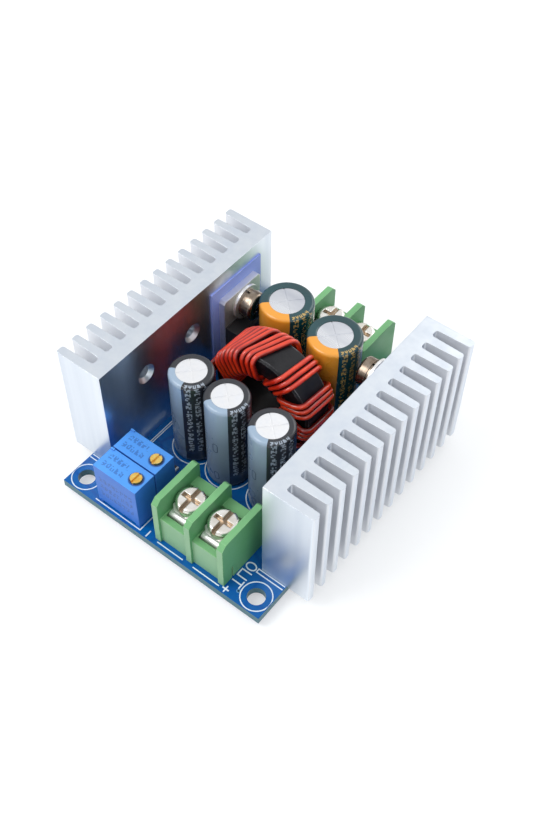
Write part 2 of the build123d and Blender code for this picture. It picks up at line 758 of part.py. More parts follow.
def trimmer_housing():
    half_l, half_w = TRIM_L / 2, TRIM_W / 2
    shell = box(-half_l, half_l, -half_w, half_w, TRIM_FOOT, TRIM_H)
    for side in (-1, 1):
        x = side * (half_l - TRIM_FOOT_L / 2)
        shell += slab(x, 0, 0, TRIM_FOOT, TRIM_FOOT_L, TRIM_W)
    nib_x = half_l - TRIM_NIB_L / 2
    shell += slab(-nib_x, half_w - TRIM_NIB / 2, TRIM_H, TRIM_H + TRIM_NIB / 2, TRIM_NIB_L, TRIM_NIB)
    in_l, in_w = half_l - TRIM_WALL, half_w - TRIM_WALL
    shell -= box(-in_l, in_l, -in_w, in_w, -CUT_PAST, TRIM_H - TRIM_TOP)
    shell -= rod(SCREW_SIDE, 0, TRIM_H - TRIM_TOP - CUT_PAST, TRIM_H + CUT_PAST, SCREW_HEAD_R + RUN_GAP)
    return shell + rod_y(wheel_x(), wheel_y() - RUN_GAP, half_w - TRIM_WALL / 2, WHEEL_Z, WHEEL_PIN_R)


def wheel_x():
    return SCREW_SIDE - WORM_R - WHEEL_GAP - WHEEL_R


def wheel_y():
    """Near face of the wiper wheel."""
    return -WHEEL_T / 2


def trimmer_screw():
    head = rod(SCREW_SIDE, 0, TRIM_H - TRIM_TOP, TRIM_H + SCREW_HEAD_UP, SCREW_HEAD_R)
    head -= box(SCREW_SIDE - SCREW_SLOT / 2, SCREW_SIDE + SCREW_SLOT / 2, -TRIM_W, TRIM_W,
                TRIM_H + SCREW_HEAD_UP - SCREW_SLOT_DEEP, TRIM_H + SCREW_HEAD_UP + CUT_PAST)
    return head + rod(SCREW_SIDE, 0, WORM_LOW, TRIM_H - TRIM_TOP, WORM_R)


def wiper_wheel():
    """Toothed wheel that the adjusting screw turns."""
    y0 = wheel_y()
    wheel = rod_y(wheel_x(), y0, y0 + WHEEL_T, WHEEL_Z, WHEEL_R)
    for k in range(WHEEL_TEETH):
        a = radians(360 * k / WHEEL_TEETH)
        x, z = wheel_x() + WHEEL_R * cos(a), WHEEL_Z + WHEEL_R * sin(a)
        wheel -= rod_y(x, y0 - CUT_PAST, y0 + WHEEL_T + CUT_PAST, z, WHEEL_TOOTH)
    return wheel - rod_y(wheel_x(), y0 - CUT_PAST, y0 + WHEEL_T + CUT_PAST, WHEEL_Z, WHEEL_PIN_R + RUN_GAP)


def trimmer_element():
    """Ceramic plate with the resistance track, held in the seal and against the wall."""
    y0 = -TRIM_W / 2 + TRIM_WALL
    x = wheel_x()
    return box(x - ELEMENT_L / 2, x + ELEMENT_L / 2, y0, y0 + ELEMENT_T,
               TRIM_FOOT + SEAL_T, TRIM_FOOT + SEAL_T + ELEMENT_H)


def trimmer_seal():
    half_l = TRIM_L / 2 - TRIM_WALL - SEAL_GAP
    half_w = TRIM_W / 2 - TRIM_WALL - SEAL_GAP
    seal = box(-half_l, half_l, -half_w, half_w, TRIM_FOOT, TRIM_FOOT + SEAL_T)
    for k in (-1, 0, 1):
        seal -= rod(k * TRIM_PIN_STEP, -TRIM_W / 4, -CUT_PAST, TRIM_FOOT + SEAL_T / 2, TRIM_PIN_R + SOLDER_GAP)
    return seal


def trimmer_pins():
    top = BOARD_TOP + TRIM_FOOT + SEAL_T / 2
    return [rod(x, y, LEAD_SHORT, top, TRIM_PIN_R) for x, y in trimmer_pin_places()]


# Terminal blocks, built with the wire side at y = 0 and the board at z = 0

def terminal_housing():
    half = TERM_STEP + TERM_WALL / 2
    body = box(-half, half, TERM_SETBACK, TERM_DEEP - TERM_HEEL, 0, LEDGE_H)
    body += box(-half, half, BACK_Y, TERM_DEEP - TERM_HEEL, 0, BACK_H)
    for k in (-1, 1):
        x = k * TERM_STEP / 2
        body -= box(x - WELL_X / 2, x + WELL_X / 2, WELL_Y0, SHOULDER_Y, WELL_FLOOR, BACK_H)
        body -= box(x - WELL_X / 2, x + WELL_X / 2, WELL_Y0, WELL_Y1, PLATE_TOP - PLATE_T, BACK_H)
        body -= rod(x, PLATE_Y0 + PLATE_T / 2, -CUT_PAST, WELL_FLOOR + CUT_PAST, PLATE_PIN_W / 2 + HOLE_GAP)
    for k in (-1, 0, 1):
        x = k * TERM_STEP
        wall = box(x - TERM_WALL / 2, x + TERM_WALL / 2, 0, TERM_DEEP, 0, TERM_H)
        tops = wall.edges().filter_by(Axis.X).group_by(Axis.Z)[-1].sort_by(Axis.Y)
        wall = chamfer(tops[0], TERM_NOSE)
        rear = wall.edges().filter_by(Axis.X).group_by(Axis.Z)[-1].sort_by(Axis.Y)[-1]
        body += chamfer(rear, TERM_HEEL)
    body -= box(half - SLOT_MARK_W, half + CUT_PAST, SLOT_MARK_Y, SLOT_MARK_Y + SLOT_MARK_W, -CUT_PAST, SLOT_MARK_H)
    return body


def contact_plate(x):
    """Tinned strip under the screw, bent down at the wire side into a solder pin."""
    low = PLATE_TOP - PLATE_T
    strip = box(x - PLATE_W / 2, x + PLATE_W / 2, PLATE_Y0, WELL_Y1 - SLEEVE_GAP, low, PLATE_TOP)
    strip += box(x - PLATE_W / 2, x + PLATE_W / 2, PLATE_Y0, PLATE_Y0 + PLATE_T, WELL_FLOOR, PLATE_TOP)
    bend = strip.edges().filter_by(Axis.X).group_by(Axis.Z)[-1].sort_by(Axis.Y)[0]
    strip = fillet(bend, PLATE_BEND)
    strip += rod(x, PLATE_Y0 + PLATE_T / 2, LEAD_SHORT - BOARD_TOP, WELL_FLOOR, PLATE_PIN_W / 2)
    return strip - rod(x, TERM_SCREW_Y, low - CUT_PAST, PLATE_TOP + CUT_PAST, TERM_SHANK_R + RUN_GAP)


def clamp_washer(x):
    """Square wire clamp that is captive under the screw head."""
    plate = slab(x, TERM_SCREW_Y, PLATE_TOP, PLATE_TOP + CLAMP_T, CLAMP_X, CLAMP_Y)
    plate = chamfer(plate.edges().filter_by(Axis.Z), CLAMP_CHAMFER)
    hole = rod(x, TERM_SCREW_Y, PLATE_TOP - CUT_PAST, PLATE_TOP + CLAMP_T + CUT_PAST, TERM_SHANK_R + RUN_GAP)
    return plate - hole


def terminal_screw(x):
    """Pan head with a driver slot and a cross."""
    seat = PLATE_TOP + CLAMP_T
    top = seat + TERM_HEAD_H
    head = rod(x, TERM_SCREW_Y, seat, top, TERM_HEAD_R)
    head = fillet(head.edges().sort_by(Axis.Z)[-1], TERM_HEAD_ROUND)
    head += rod(x, TERM_SCREW_Y, seat - TERM_SHANK_L, seat, TERM_SHANK_R)
    slot_z = top - TERM_SLOT_DEEP
    head -= slab(x, TERM_SCREW_Y, slot_z, top + CUT_PAST, TERM_SLOT_W, 3 * TERM_HEAD_R)
    return head - slab(x, TERM_SCREW_Y, slot_z, top + CUT_PAST, TERM_CROSS_L, TERM_SLOT_W)


# Small parts

def chip_body(x, y, pins):
    half = pins * CHIP_PIN_STEP / 2
    z = BOARD_TOP + CHIP_LIFT
    body = box(x - CHIP_W / 2, x + CHIP_W / 2, y - half, y + half, z, z + CHIP_T)
    return chamfer(body.faces().sort_by(Axis.Z)[-1].edges(), CHIP_T / 6)


def chip_pins(x, y, pins):
    """Gull-wing leads down both long sides."""
    made = []
    knee = BOARD_TOP + CHIP_LIFT + CHIP_T / 2
    for k in range(pins):
        py = y + (k - (pins - 1) / 2) * CHIP_PIN_STEP
        for side in (-1, 1):
            x0 = x + side * CHIP_W / 2
            x1 = x0 + side * CHIP_PIN_OUT / 2
            x2 = x0 + side * CHIP_PIN_OUT
            arm = box(min(x0, x1), max(x0, x1), py - CHIP_PIN_W / 2, py + CHIP_PIN_W / 2,
                      knee - CHIP_PIN_T, knee)
            down = box(min(x1, x1 - side * CHIP_PIN_T), max(x1, x1 - side * CHIP_PIN_T),
                       py - CHIP_PIN_W / 2, py + CHIP_PIN_W / 2, BOARD_TOP, knee)
            foot = box(min(x1 - side * CHIP_PIN_T, x2), max(x1 - side * CHIP_PIN_T, x2),
                       py - CHIP_PIN_W / 2, py + CHIP_PIN_W / 2, BOARD_TOP, BOARD_TOP + CHIP_PIN_T)
            made.append(arm + down + foot)
    return made


def chip_resistors():
    return [slab(x, y, BOARD_TOP, BOARD_TOP + RESISTOR_T, RESISTOR_L, RESISTOR_W) for x, y in RESISTOR_PLACES]


def shunt():
    return slab(SHUNT_X, SHUNT_Y, BOARD_TOP, BOARD_TOP + SHUNT_T, SHUNT_L, SHUNT_W)


def save_heatsinks():
    right = heatsink()
    save("heatsink_right", right)
    save("heatsink_left", Rot(0, 0, 180) * right)
    save("heatsink_pins", *heatsink_pins())


def save_devices():
    for side, place in (("right", lambda s: s), ("left", mirrored)):
        save(f"insulating_sheet_{side}", place(device_sheet()))
        save(f"device_tab_{side}", place(device_tab()))
        save(f"device_case_{side}", place(device_case()))
    save("device_legs", *device_legs(), *[mirrored(leg) for leg in device_legs()])
    for name, piece in (("device_bolts", device_bolt()), ("device_flat_washers", flat_washer()),
                        ("device_spring_washers", spring_washer()), ("device_bushes", device_bush())):
        save(name, piece, mirrored(piece))


def save_capacitors():
    bungs = []
    rows = (("output_capacitor", SLIM_PLACES, SLIM_R, SLIM_H, SLIM_LEADS),
            ("input_capacitor", WIDE_PLACES, WIDE_R, WIDE_H, WIDE_LEADS))
    for name, places, radius, height, spacing in rows:
        for number, (x, y) in enumerate(places, 1):
            save(f"{name}_can_{number}", cap_can(x, y, radius, height))
            save(f"{name}_sleeve_{number}", cap_sleeve(x, y, radius, height))
            bungs.append(cap_bung(x, y, radius, spacing))
    save("capacitor_bungs", *bungs)
    save("capacitor_leads", *cap_leads())


def save_trimmers():
    seals = []
    for number, (x, y) in enumerate(trimmer_centres(), 1):
        place = Pos(x, y, BOARD_TOP)
        save(f"trimmer_housing_{number}", place * trimmer_housing())
        save(f"trimmer_screw_{number}", place * trimmer_screw())
        save(f"trimmer_wheel_{number}", place * wiper_wheel())
        save(f"trimmer_element_{number}", place * trimmer_element())
        seals.append(place * trimmer_seal())
    save("trimmer_seals", *seals)
    save("trimmer_pins", *trimmer_pins())


def save_terminals():
    ends = (("output", Pos(OUT_X, OUT_FRONT, BOARD_TOP)),
            ("input", Pos(IN_X, IN_FRONT, BOARD_TOP) * Rot(0, 0, 180)))
    for name, place in ends:
        poles = [-TERM_STEP / 2, TERM_STEP / 2]
        save(f"{name}_terminal_housing", place * terminal_housing())
        save(f"{name}_contact_plates", *[place * contact_plate(x) for x in poles])
        for number, x in enumerate(poles, 1):
            save(f"{name}_clamp_{number}", place * clamp_washer(x))
            save(f"{name}_screw_{number}", place * terminal_screw(x))


def save_board():
    save("circuit_board", board())
    save("printed_legend", *printed_legend())
    save("board_tracks", *tracks())
    save("solder_joints", *[solder_joint(leads) for leads in solder_groups()])
    save("control_chips", chip_body(CONTROLLER_X, CONTROLLER_Y, CONTROLLER_PINS),
         chip_body(AMPLIFIER_X, AMPLIFIER_Y, AMPLIFIER_PINS))
    save("chip_pins", *chip_pins(CONTROLLER_X, CONTROLLER_Y, CONTROLLER_PINS),
         *chip_pins(AMPLIFIER_X, AMPLIFIER_Y, AMPLIFIER_PINS))
    save("chip_resistors", *chip_resistors(), shunt())


def save_inductor():
    save("inductor_core", inductor_core())
    for number, offset in enumerate(strand_offsets(), 1):
        save(f"winding_strand_{number}", strand(offset))


os.makedirs("parts", exist_ok=True)
save_board()
save_heatsinks()
save_devices()
save_inductor()
save_capacitors()
save_trimmers()
save_terminals()
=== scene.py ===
import math

import bpy
from mathutils import Matrix, Vector


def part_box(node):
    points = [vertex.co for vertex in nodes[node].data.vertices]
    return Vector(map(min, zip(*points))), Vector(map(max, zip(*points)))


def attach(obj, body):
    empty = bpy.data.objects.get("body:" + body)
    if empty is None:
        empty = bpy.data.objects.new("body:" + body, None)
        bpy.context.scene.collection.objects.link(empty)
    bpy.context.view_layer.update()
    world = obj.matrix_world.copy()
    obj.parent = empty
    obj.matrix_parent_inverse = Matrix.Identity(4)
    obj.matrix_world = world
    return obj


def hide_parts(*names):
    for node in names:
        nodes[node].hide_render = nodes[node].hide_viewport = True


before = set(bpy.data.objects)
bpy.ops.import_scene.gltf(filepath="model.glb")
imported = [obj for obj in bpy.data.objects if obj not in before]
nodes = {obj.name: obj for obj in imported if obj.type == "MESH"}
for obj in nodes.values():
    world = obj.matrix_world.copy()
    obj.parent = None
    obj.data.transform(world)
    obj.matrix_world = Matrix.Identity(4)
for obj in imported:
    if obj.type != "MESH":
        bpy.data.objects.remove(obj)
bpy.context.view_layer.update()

# Looks of a buck converter module: a blue circuit board between two finned heatsinks.
# X runs across the board, Y along it from the output end to the input end, Z up.
# The scene is in metres. The sizes and places named below are in millimetres, unless MM stands with them.

MM = 0.001
BOARD_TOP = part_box("circuit_board")[1].z

# Photograph's camera
EYE = Vector((73.465, -94.660, 161.315)) * MM
LOOK_RIGHT = Vector((0.78863, 0.61470, 0.01429))
LOOK_UP = Vector((-0.49076, 0.61530, 0.61688))
LENS = 47.007

# Heatsinks, from the middle of the board: inner face, root of the fins and sawn end
SINK_FACE_X, FIN_ROOT_X, SINK_END_Y = 16.86, 19.6, 22.45

# Capacitors: sleeve radius, height and places on the board, and the directions their stripes face
SLIM_R, SLIM_H = 4.0, 20.8
WIDE_R, WIDE_H = 4.95, 20.6
SLIM_PLACES = ((-8.6, -9.5), (-0.5, -9.95), (9.1, -10.2))
WIDE_PLACES = ((-6.1, 13.4), (5.3, 12.2))
SLIM_STRIPES, WIDE_STRIPES = (-114, -88, -103), (-91, -91)

# Print on a sleeve, measured along its surface from the foot: the length that fills the map,
# top of the stripe, top of the ovals, start and length of the rows, and the row on the rim
WRAP_LENGTH = 25.0
STRIPE_TOP, OVALS_TOP, OVAL_EVERY = 23.0, 15.5, 8.0
ROWS_FROM, ROWS_LENGTH, RIM_ROW_FROM = 3.2, 17.0, 20.15

# Trimmers, their middles along Y, their screws and the start of their print along X,
# and the floor of the recess in the terminal screws
TRIMMER_ROWS = (-26.6, -21.6)
TRIMMER_SCREW_X, TRIMMER_PRINT_X = -6.6, -13.4
RECESS_FLOOR_Z = 11.5

# Chip resistors and the shunt: x, y and half the length
CHIP_PARTS = ((-11.5, -16.2, 1.0), (-8.6, -16.2, 1.0), (-5.6, -16.2, 1.0), (-13.4, 1.5, 1.0), (-13.4, 4.0, 1.0),
              (12.4, -16.1, 3.2))

# Ring core and its winding. The angles go round the core's axis turn by turn: where a turn
# comes over the near face, over the far face and through the bore
CORE_AT = Vector((-0.4, 2.0, 14.0))
CORE_R, CORE_BORE_R, CORE_W = 10.15, 6.3, 6.4
WIRE_D, WIRE_STEP, WIRE_OFF, WIRE_BULGE, WIRE_BEND = 0.97, 1.14, 0.07, 0.5, 1.6
NEAR_ANGLES = (172, 146, 126, 104, 58, 24, -8, -40)
FAR_ANGLES = (165, 128, 109, 86, 53, 20, -13, -46)
BORE_ANGLES = (167, 134, 101, 68, 35, 2, -31, -64)
WIRE_END_Z, LAST_BEND_Z = 0.15, 4.2
WANDER = 0.12

# Solder: how far a fillet spreads past its lead, and its height
FILLET_SPREAD, FILLET_H = 0.55, 1.0


# ---- Tools for node trees

class Wiring:
    """Adds nodes to one tree and joins their sockets."""

    def __init__(self, tree):
        self.tree = tree

    def join(self, value, socket):
        if isinstance(value, bpy.types.NodeSocket):
            self.tree.links.new(value, socket)
        else:
            socket.default_value = value

    def node(self, kind, inputs=None, **settings):
        made = self.tree.nodes.new(kind)
        for key, value in settings.items():
            setattr(made, key, value)
        for key, value in (inputs or {}).items():
            self.join(value, made.inputs[key])
        return made

    def calc(self, operation, *values):
        """Any one of the Math node's operations."""
        made = self.tree.nodes.new("ShaderNodeMath")
        made.operation = operation
        for socket, value in zip(made.inputs, values):
            self.join(value, socket)
        return made.outputs[0]

    def ramp(self, value, low, high, start=0.0, end=1.0):
        """value from low to high becomes start to end, and stays inside them."""
        return self.node("ShaderNodeMapRange", {"Value": value, "From Min": low, "From Max": high,
                                                "To Min": start, "To Max": end}).outputs["Result"]

    def blend(self, mask, first, second):
        """Colour that goes from first to second as the mask goes from 0 to 1."""
        made = self.tree.nodes.new("ShaderNodeMix")
        made.data_type = "RGBA"
        for socket, value in ((made.inputs[0], mask), (made.inputs[6], first), (made.inputs[7], second)):
            self.join(value, socket)
        return made.outputs[2]

    def level(self, mask, first, second):
        """Number that goes from first to second as the mask goes from 0 to 1."""
        return self.calc("ADD", self.calc("MULTIPLY", mask, self.calc("SUBTRACT", second, first)), first)

    def noise(self, spot, scale, detail):
        """Soft random value at a spot."""
        return self.node("ShaderNodeTexNoise", {"Vector": spot, "Scale": scale, "Detail": detail}).outputs["Fac"]

    def split(self, vector):
        return self.node("ShaderNodeSeparateXYZ", {"Vector": vector}).outputs

    def vector(self, x, y, z=0.0):
        return self.node("ShaderNodeCombineXYZ", {"X": x, "Y": y, "Z": z}).outputs["Vector"]

    def place(self):
        return self.node("ShaderNodeTexCoord").outputs["Object"]


def open_group(name, kind, inputs, outputs):
    """New node group with named sockets; returns its tree, wiring, inputs and outputs."""
    tree = bpy.data.node_groups.new(name, kind)
    for label, socket_type, value in inputs:
        socket = tree.interface.new_socket(label, in_out="INPUT", socket_type=socket_type)
        if value is not None:
            socket.default_value = value
    for label, socket_type in outputs:
        tree.interface.new_socket(label, in_out="OUTPUT", socket_type=socket_type)
    wiring = Wiring(tree)
    return tree, wiring, wiring.node("NodeGroupInput").outputs, wiring.node("NodeGroupOutput").inputs


FLOAT, VECTOR, SHAPE, STUFF = "NodeSocketFloat", "NodeSocketVector", "NodeSocketGeometry", "NodeSocketMaterial"


# ---- Shader groups that several finishes share

def make_soft_edges():
    """Rounds edges in the light and marks where they rub bright; on some finishes, such as the core's, the same mark is
    a painted highlight.
    """
    tree, w, given, out = open_group("soft_edges", "ShaderNodeTree",
                                     [("Radius", FLOAT, 0.0001), ("Patchy", FLOAT, 400.0)],
                                     [("Normal", VECTOR), ("Wear and Highlight", FLOAT)])
    rounded = w.node("ShaderNodeBevel", {"Radius": given["Radius"]}, samples=4).outputs["Normal"]
    flat = w.node("ShaderNodeNewGeometry").outputs["Normal"]
    dot = w.node("ShaderNodeVectorMath", operation="DOT_PRODUCT")
    w.join(rounded, dot.inputs[0])
    w.join(flat, dot.inputs[1])
    edge = w.ramp(dot.outputs["Value"], 0.995, 0.86)
    patches = w.noise(w.place(), given["Patchy"], 3.0)
    w.join(rounded, out["Normal"])
    w.join(w.calc("MULTIPLY", edge, w.ramp(patches, 0.38, 0.62)), out["Wear and Highlight"])
    return tree


def make_grain():
    """Fine moulded or cast grain, with a slow drift of tone under it."""
    tree, w, given, out = open_group("grain", "ShaderNodeTree", [("Fine", FLOAT, 3000.0), ("Slow", FLOAT, 120.0)],
                                     [("Height", FLOAT), ("Tone", FLOAT)])
    spot = w.place()
    slow = w.noise(spot, given["Slow"], 2.0)
    w.join(w.noise(spot, given["Fine"], 4.0), out["Height"])
    w.join(w.ramp(slow, 0.32, 0.68), out["Tone"])
    return tree


def make_drawn_lines():
    """Lines left by extruding, drawing or brushing; the stretch sets their direction."""
    tree, w, given, out = open_group("drawn_lines", "ShaderNodeTree",
                                     [("Stretch", VECTOR, (1.0, 1.0, 1.0)), ("Scale", FLOAT, 2000.0)],
                                     [("Height", FLOAT), ("Tone", FLOAT)])
    spot = w.node("ShaderNodeVectorMath", operation="MULTIPLY")
    w.join(w.place(), spot.inputs[0])
    w.join(given["Stretch"], spot.inputs[1])
    broad = w.noise(spot.outputs[0], w.calc("MULTIPLY", given["Scale"], 0.16), 2.0)
    w.join(w.noise(spot.outputs[0], given["Scale"], 3.0), out["Height"])
    w.join(w.ramp(broad, 0.3, 0.7), out["Tone"])
    return tree


def make_block_print():
    """Rows of small blocks, like print too small to read. Across and Along are in millimetres."""
    tree, w, given, out = open_group("block_print", "ShaderNodeTree",
                                     [("Across", FLOAT, 0.0), ("Along", FLOAT, 0.0), ("Row", FLOAT, 1.6),
                                      ("Cell", FLOAT, 0.3), ("Rows", FLOAT, 3.0), ("Length", FLOAT, 12.0)],
                                     [("Mask", FLOAT)])
    row = w.calc("DIVIDE", given["Across"], given["Row"])
    in_row = w.calc("FRACT", row)
    inked_row = w.calc("MULTIPLY", w.calc("GREATER_THAN", in_row, 0.2), w.calc("LESS_THAN", in_row, 0.82))
    inside = w.calc("MULTIPLY", w.calc("GREATER_THAN", row, 0.0), w.calc("LESS_THAN", row, given["Rows"]))
    along = w.calc("MULTIPLY", w.calc("GREATER_THAN", given["Along"], 0.0),
                   w.calc("LESS_THAN", given["Along"], given["Length"]))
    cell = w.vector(w.calc("FLOOR", w.calc("DIVIDE", given["Across"], given["Cell"])),
                    w.calc("FLOOR", w.calc("DIVIDE", given["Along"], given["Cell"])))
    ink = w.calc("GREATER_THAN", w.node("ShaderNodeTexWhiteNoise", {"Vector": cell}).outputs["Value"], 0.42)
    letter = w.calc("DIVIDE", given["Along"], w.calc("MULTIPLY", given["Cell"], 4.0))
    gap = w.calc("LESS_THAN", w.calc("FRACT", letter), 0.75)
    mask = inked_row
    for part in (inside, along, ink, gap):
        mask = w.calc("MULTIPLY", mask, part)
    w.join(mask, out["Mask"])
    return tree


def make_outlined_oval():
    """Thin outline of a long oval, centred where Across and Along are nought."""
    tree, w, given, out = open_group("outlined_oval", "ShaderNodeTree",
                                     [("Across", FLOAT, 0.0), ("Along", FLOAT, 0.0), ("Half Width", FLOAT, 0.45),
                                      ("Half Length", FLOAT, 1.1), ("Line", FLOAT, 0.08)],
                                     [("Mask", FLOAT)])
    reach = w.calc("SUBTRACT", given["Half Length"], given["Half Width"])
    past = w.calc("MAXIMUM", w.calc("SUBTRACT", w.calc("ABSOLUTE", given["Along"]), reach), 0.0)
    across = w.calc("MULTIPLY", given["Across"], given["Across"])
    distance = w.calc("SQRT", w.calc("ADD", across, w.calc("MULTIPLY", past, past)))
    off = w.calc("ABSOLUTE", w.calc("SUBTRACT", distance, given["Half Width"]))
    w.join(w.calc("LESS_THAN", off, given["Line"]), out["Mask"])
    return tree


soft_edges, grain, drawn_lines = make_soft_edges(), make_grain(), make_drawn_lines()
block_print, outlined_oval = make_block_print(), make_outlined_oval()


# ---- Finishes

def finish(name, colour, tone=None, rough=(0.35, 0.5), metallic=0.0, coat=0.0, coat_rough=0.08, edge=0.08,
           wear_and_highlight=0.0, wear_and_highlight_colour=(0.9, 0.9, 0.9), fine=3000.0, slow=120.0, depth=0.004, stretch=None, lines=2500.0,
           paint=None, specular=0.5, polish=None, polished=0.15):
    """Plain surface with its grain or drawn lines, soft edges, and worn spots on the edges, which on some finishes,
    such as the core's, are a painted highlight.

    paint(w, base) may lay print or another colour over the base and returns it;
    polish(w) marks where the surface is smoother; metallic may be a mask as well."""
    made = bpy.data.materials.new(name)
    made.use_nodes = True
    tree = made.node_tree
    tree.nodes.clear()
    w = Wiring(tree)
    if stretch:
        texture = w.node("ShaderNodeGroup", node_tree=drawn_lines)
        texture.inputs["Stretch"].default_value = stretch
        texture.inputs["Scale"].default_value = lines
    else:
        texture = w.node("ShaderNodeGroup", node_tree=grain)
        texture.inputs["Fine"].default_value = fine
        texture.inputs["Slow"].default_value = slow
    edges = w.node("ShaderNodeGroup", node_tree=soft_edges)
    edges.inputs["Radius"].default_value = edge * MM
    mask = texture.outputs["Tone"]
    base = w.blend(mask, (*colour, 1.0), (*(tone or [c * 0.86 for c in colour]), 1.0))
    if paint:
        base = paint(w, base)
    # Pale colour on the edges: worn spots, and on the core's finish a painted highlight.
    if wear_and_highlight:
        base = w.blend(w.calc("MULTIPLY", edges.outputs["Wear and Highlight"], wear_and_highlight), base, (*wear_and_highlight_colour, 1.0))
    bump = w.node("ShaderNodeBump", {"Height": texture.outputs["Height"], "Normal": edges.outputs["Normal"],
                                     "Distance": depth * MM, "Strength": 0.8})
    roughness = w.ramp(mask, 0.0, 1.0, *rough)
    if polish:
        roughness = w.level(polish(w), roughness, polished)
    if callable(metallic):
        metallic = metallic(w)
    shader = w.node("ShaderNodeBsdfPrincipled", {
        "Base Color": base, "Roughness": roughness, "Metallic": metallic,
        "Coat Weight": coat, "Coat Roughness": coat_rough, "Specular IOR Level": specular,
        "Normal": bump.outputs["Normal"]})
    end = w.node("ShaderNodeOutputMaterial")
    tree.links.new(shader.outputs["BSDF"], end.inputs["Surface"])
    return made


def facing_up(w):
    """1 on faces that look up or down, 0 on the sides."""
    up = w.split(w.node("ShaderNodeNewGeometry").outputs["Normal"])["Z"]
    return w.ramp(w.calc("ABSOLUTE", up), 0.6, 0.8)


def milled_face(w):
    """1 on the heatsinks' flat inner faces and sawn ends."""
    spot = w.split(w.place())
    inner = w.calc("LESS_THAN", w.calc("ABSOLUTE", spot["X"]), SINK_FACE_X * MM)
    return w.calc("MAXIMUM", inner, w.calc("GREATER_THAN", w.calc("ABSOLUTE", spot["Y"]), SINK_END_Y * MM))


def slot_walls(w):
    """1 between the fins of a heatsink, but not on their tips."""
    spot = w.split(w.place())
    along = w.split(w.node("ShaderNodeNewGeometry").outputs["Normal"])["Y"]
    between = w.calc("MULTIPLY", w.calc("GREATER_THAN", w.calc("ABSOLUTE", spot["X"]), FIN_ROOT_X * MM),
                     w.calc("LESS_THAN", w.calc("ABSOLUTE", spot["Y"]), (SINK_END_Y - 0.05) * MM))
    return w.calc("MULTIPLY", between, w.ramp(w.calc("ABSOLUTE", along), 0.3, 0.7))


def fin_slot_light(w, base):
    """Duller, paler metal between the fins; the paler colour is painted light for light that bounces down between them.
    """
    return w.blend(slot_walls(w), base, (0.80, 0.82, 0.86, 1.0))


def fin_metal(w):
    return w.level(slot_walls(w), 1.0, 0.5)


def terminal_light_and_shade(w, base):
    """Painted light on the terminal housings: a painted sheen, paler plastic, on the faces along the board's ends, and
    painted shade, deeper green, on the sides.
    """
    faces = w.split(w.node("ShaderNodeNewGeometry").outputs["Normal"])
    lit_ends = w.ramp(w.calc("ABSOLUTE", faces["Y"]), 0.85, 0.95)
    shaded_sides = w.ramp(w.calc("ABSOLUTE", faces["X"]), 0.85, 0.95)
    lit_plastic = w.blend(lit_ends, base, (0.27, 0.50, 0.28, 1.0))
    return w.blend(shaded_sides, lit_plastic, (0.105, 0.34, 0.14, 1.0))


def board_paint(w, base):
    """Solder mask over copper areas, vias with paler rings and painted shade in their holes, and bare glass fibre at
    the cut edges.
    """
    spot = w.place()
    cells = w.node("ShaderNodeTexVoronoi", {"Vector": spot, "Scale": 150.0, "Randomness": 0.7},
                   feature="DISTANCE_TO_EDGE").outputs["Distance"]
    gaps = w.ramp(cells, 0.02, 0.06)
    masked = w.blend(gaps, (0.001, 0.085, 0.34, 1.0), base)
    holes = w.node("ShaderNodeTexVoronoi", {"Vector": spot, "Scale": 200.0}).outputs["Distance"]
    masked = w.blend(w.ramp(holes, 0.085, 0.07), masked, (0.10, 0.26, 0.46, 1.0))
    # Painted shade: a near-black spot in the middle of each via hole.
    masked = w.blend(w.ramp(holes, 0.045, 0.035), masked, (0.01, 0.03, 0.06, 1.0))
    return w.blend(facing_up(w), (0.05, 0.16, 0.20, 1.0), masked)


def end_caps(w, base):
    """Tinned ends on the chip resistors and the shunt."""
    spot = w.split(w.place())
    bare = 0.0
    for x, y, half in CHIP_PARTS:
        off_x = w.calc("ABSOLUTE", w.calc("SUBTRACT", w.calc("DIVIDE", spot["X"], MM), x))
        off_y = w.calc("ABSOLUTE", w.calc("SUBTRACT", w.calc("DIVIDE", spot["Y"], MM), y))
        end = w.calc("MULTIPLY", w.calc("GREATER_THAN", off_x, half - 0.32), w.calc("LESS_THAN", off_x, half + 0.1))
        bare = w.calc("MAXIMUM", bare, w.calc("MULTIPLY", end, w.calc("LESS_THAN", off_y, 1.7)))
    return w.blend(bare, base, (0.72, 0.72, 0.70, 1.0))


def wire_gap_shade(w, base):
    """Painted shade, a deeper red, on the sides where a wire lies against its neighbours round the core."""
    spot, faces = w.split(w.place()), w.split(w.node("ShaderNodeNewGeometry").outputs["Normal"])
    across, up = w.calc("SUBTRACT", spot["X"], CORE_AT.x * MM), w.calc("SUBTRACT", spot["Z"], CORE_AT.z * MM)
    away = w.calc("SQRT", w.calc("ADD", w.calc("MULTIPLY", across, across), w.calc("MULTIPLY", up, up)))
    sideways = w.calc("SUBTRACT", w.calc("MULTIPLY", faces["Z"], across), w.calc("MULTIPLY", faces["X"], up))
    shaded_side = w.ramp(w.calc("ABSOLUTE", w.calc("DIVIDE", sideways, away)), 0.45, 0.95)
    return w.blend(shaded_side, base, (0.15, 0.003, 0.002, 1.0))


def recess_paint(floor_z):
    """Darker brown on the floor of a driver recess at that height."""
    def paint(w, base):
        height = w.split(w.place())["Z"]
        low = w.calc("LESS_THAN", height, (floor_z + 0.12) * MM)
        above = w.calc("GREATER_THAN", height, (floor_z - 0.12) * MM)
        return w.blend(w.calc("MULTIPLY", low, above), base, (0.30, 0.22, 0.15, 1.0))
    return paint


def set_print(block, row, cell, rows, length):
    """Sizes of a block print: height of a row, size of a block, number of rows and their length."""
    for key, value in (("Row", row), ("Cell", cell), ("Rows", float(rows)), ("Length", length)):
        block.inputs[key].default_value = value


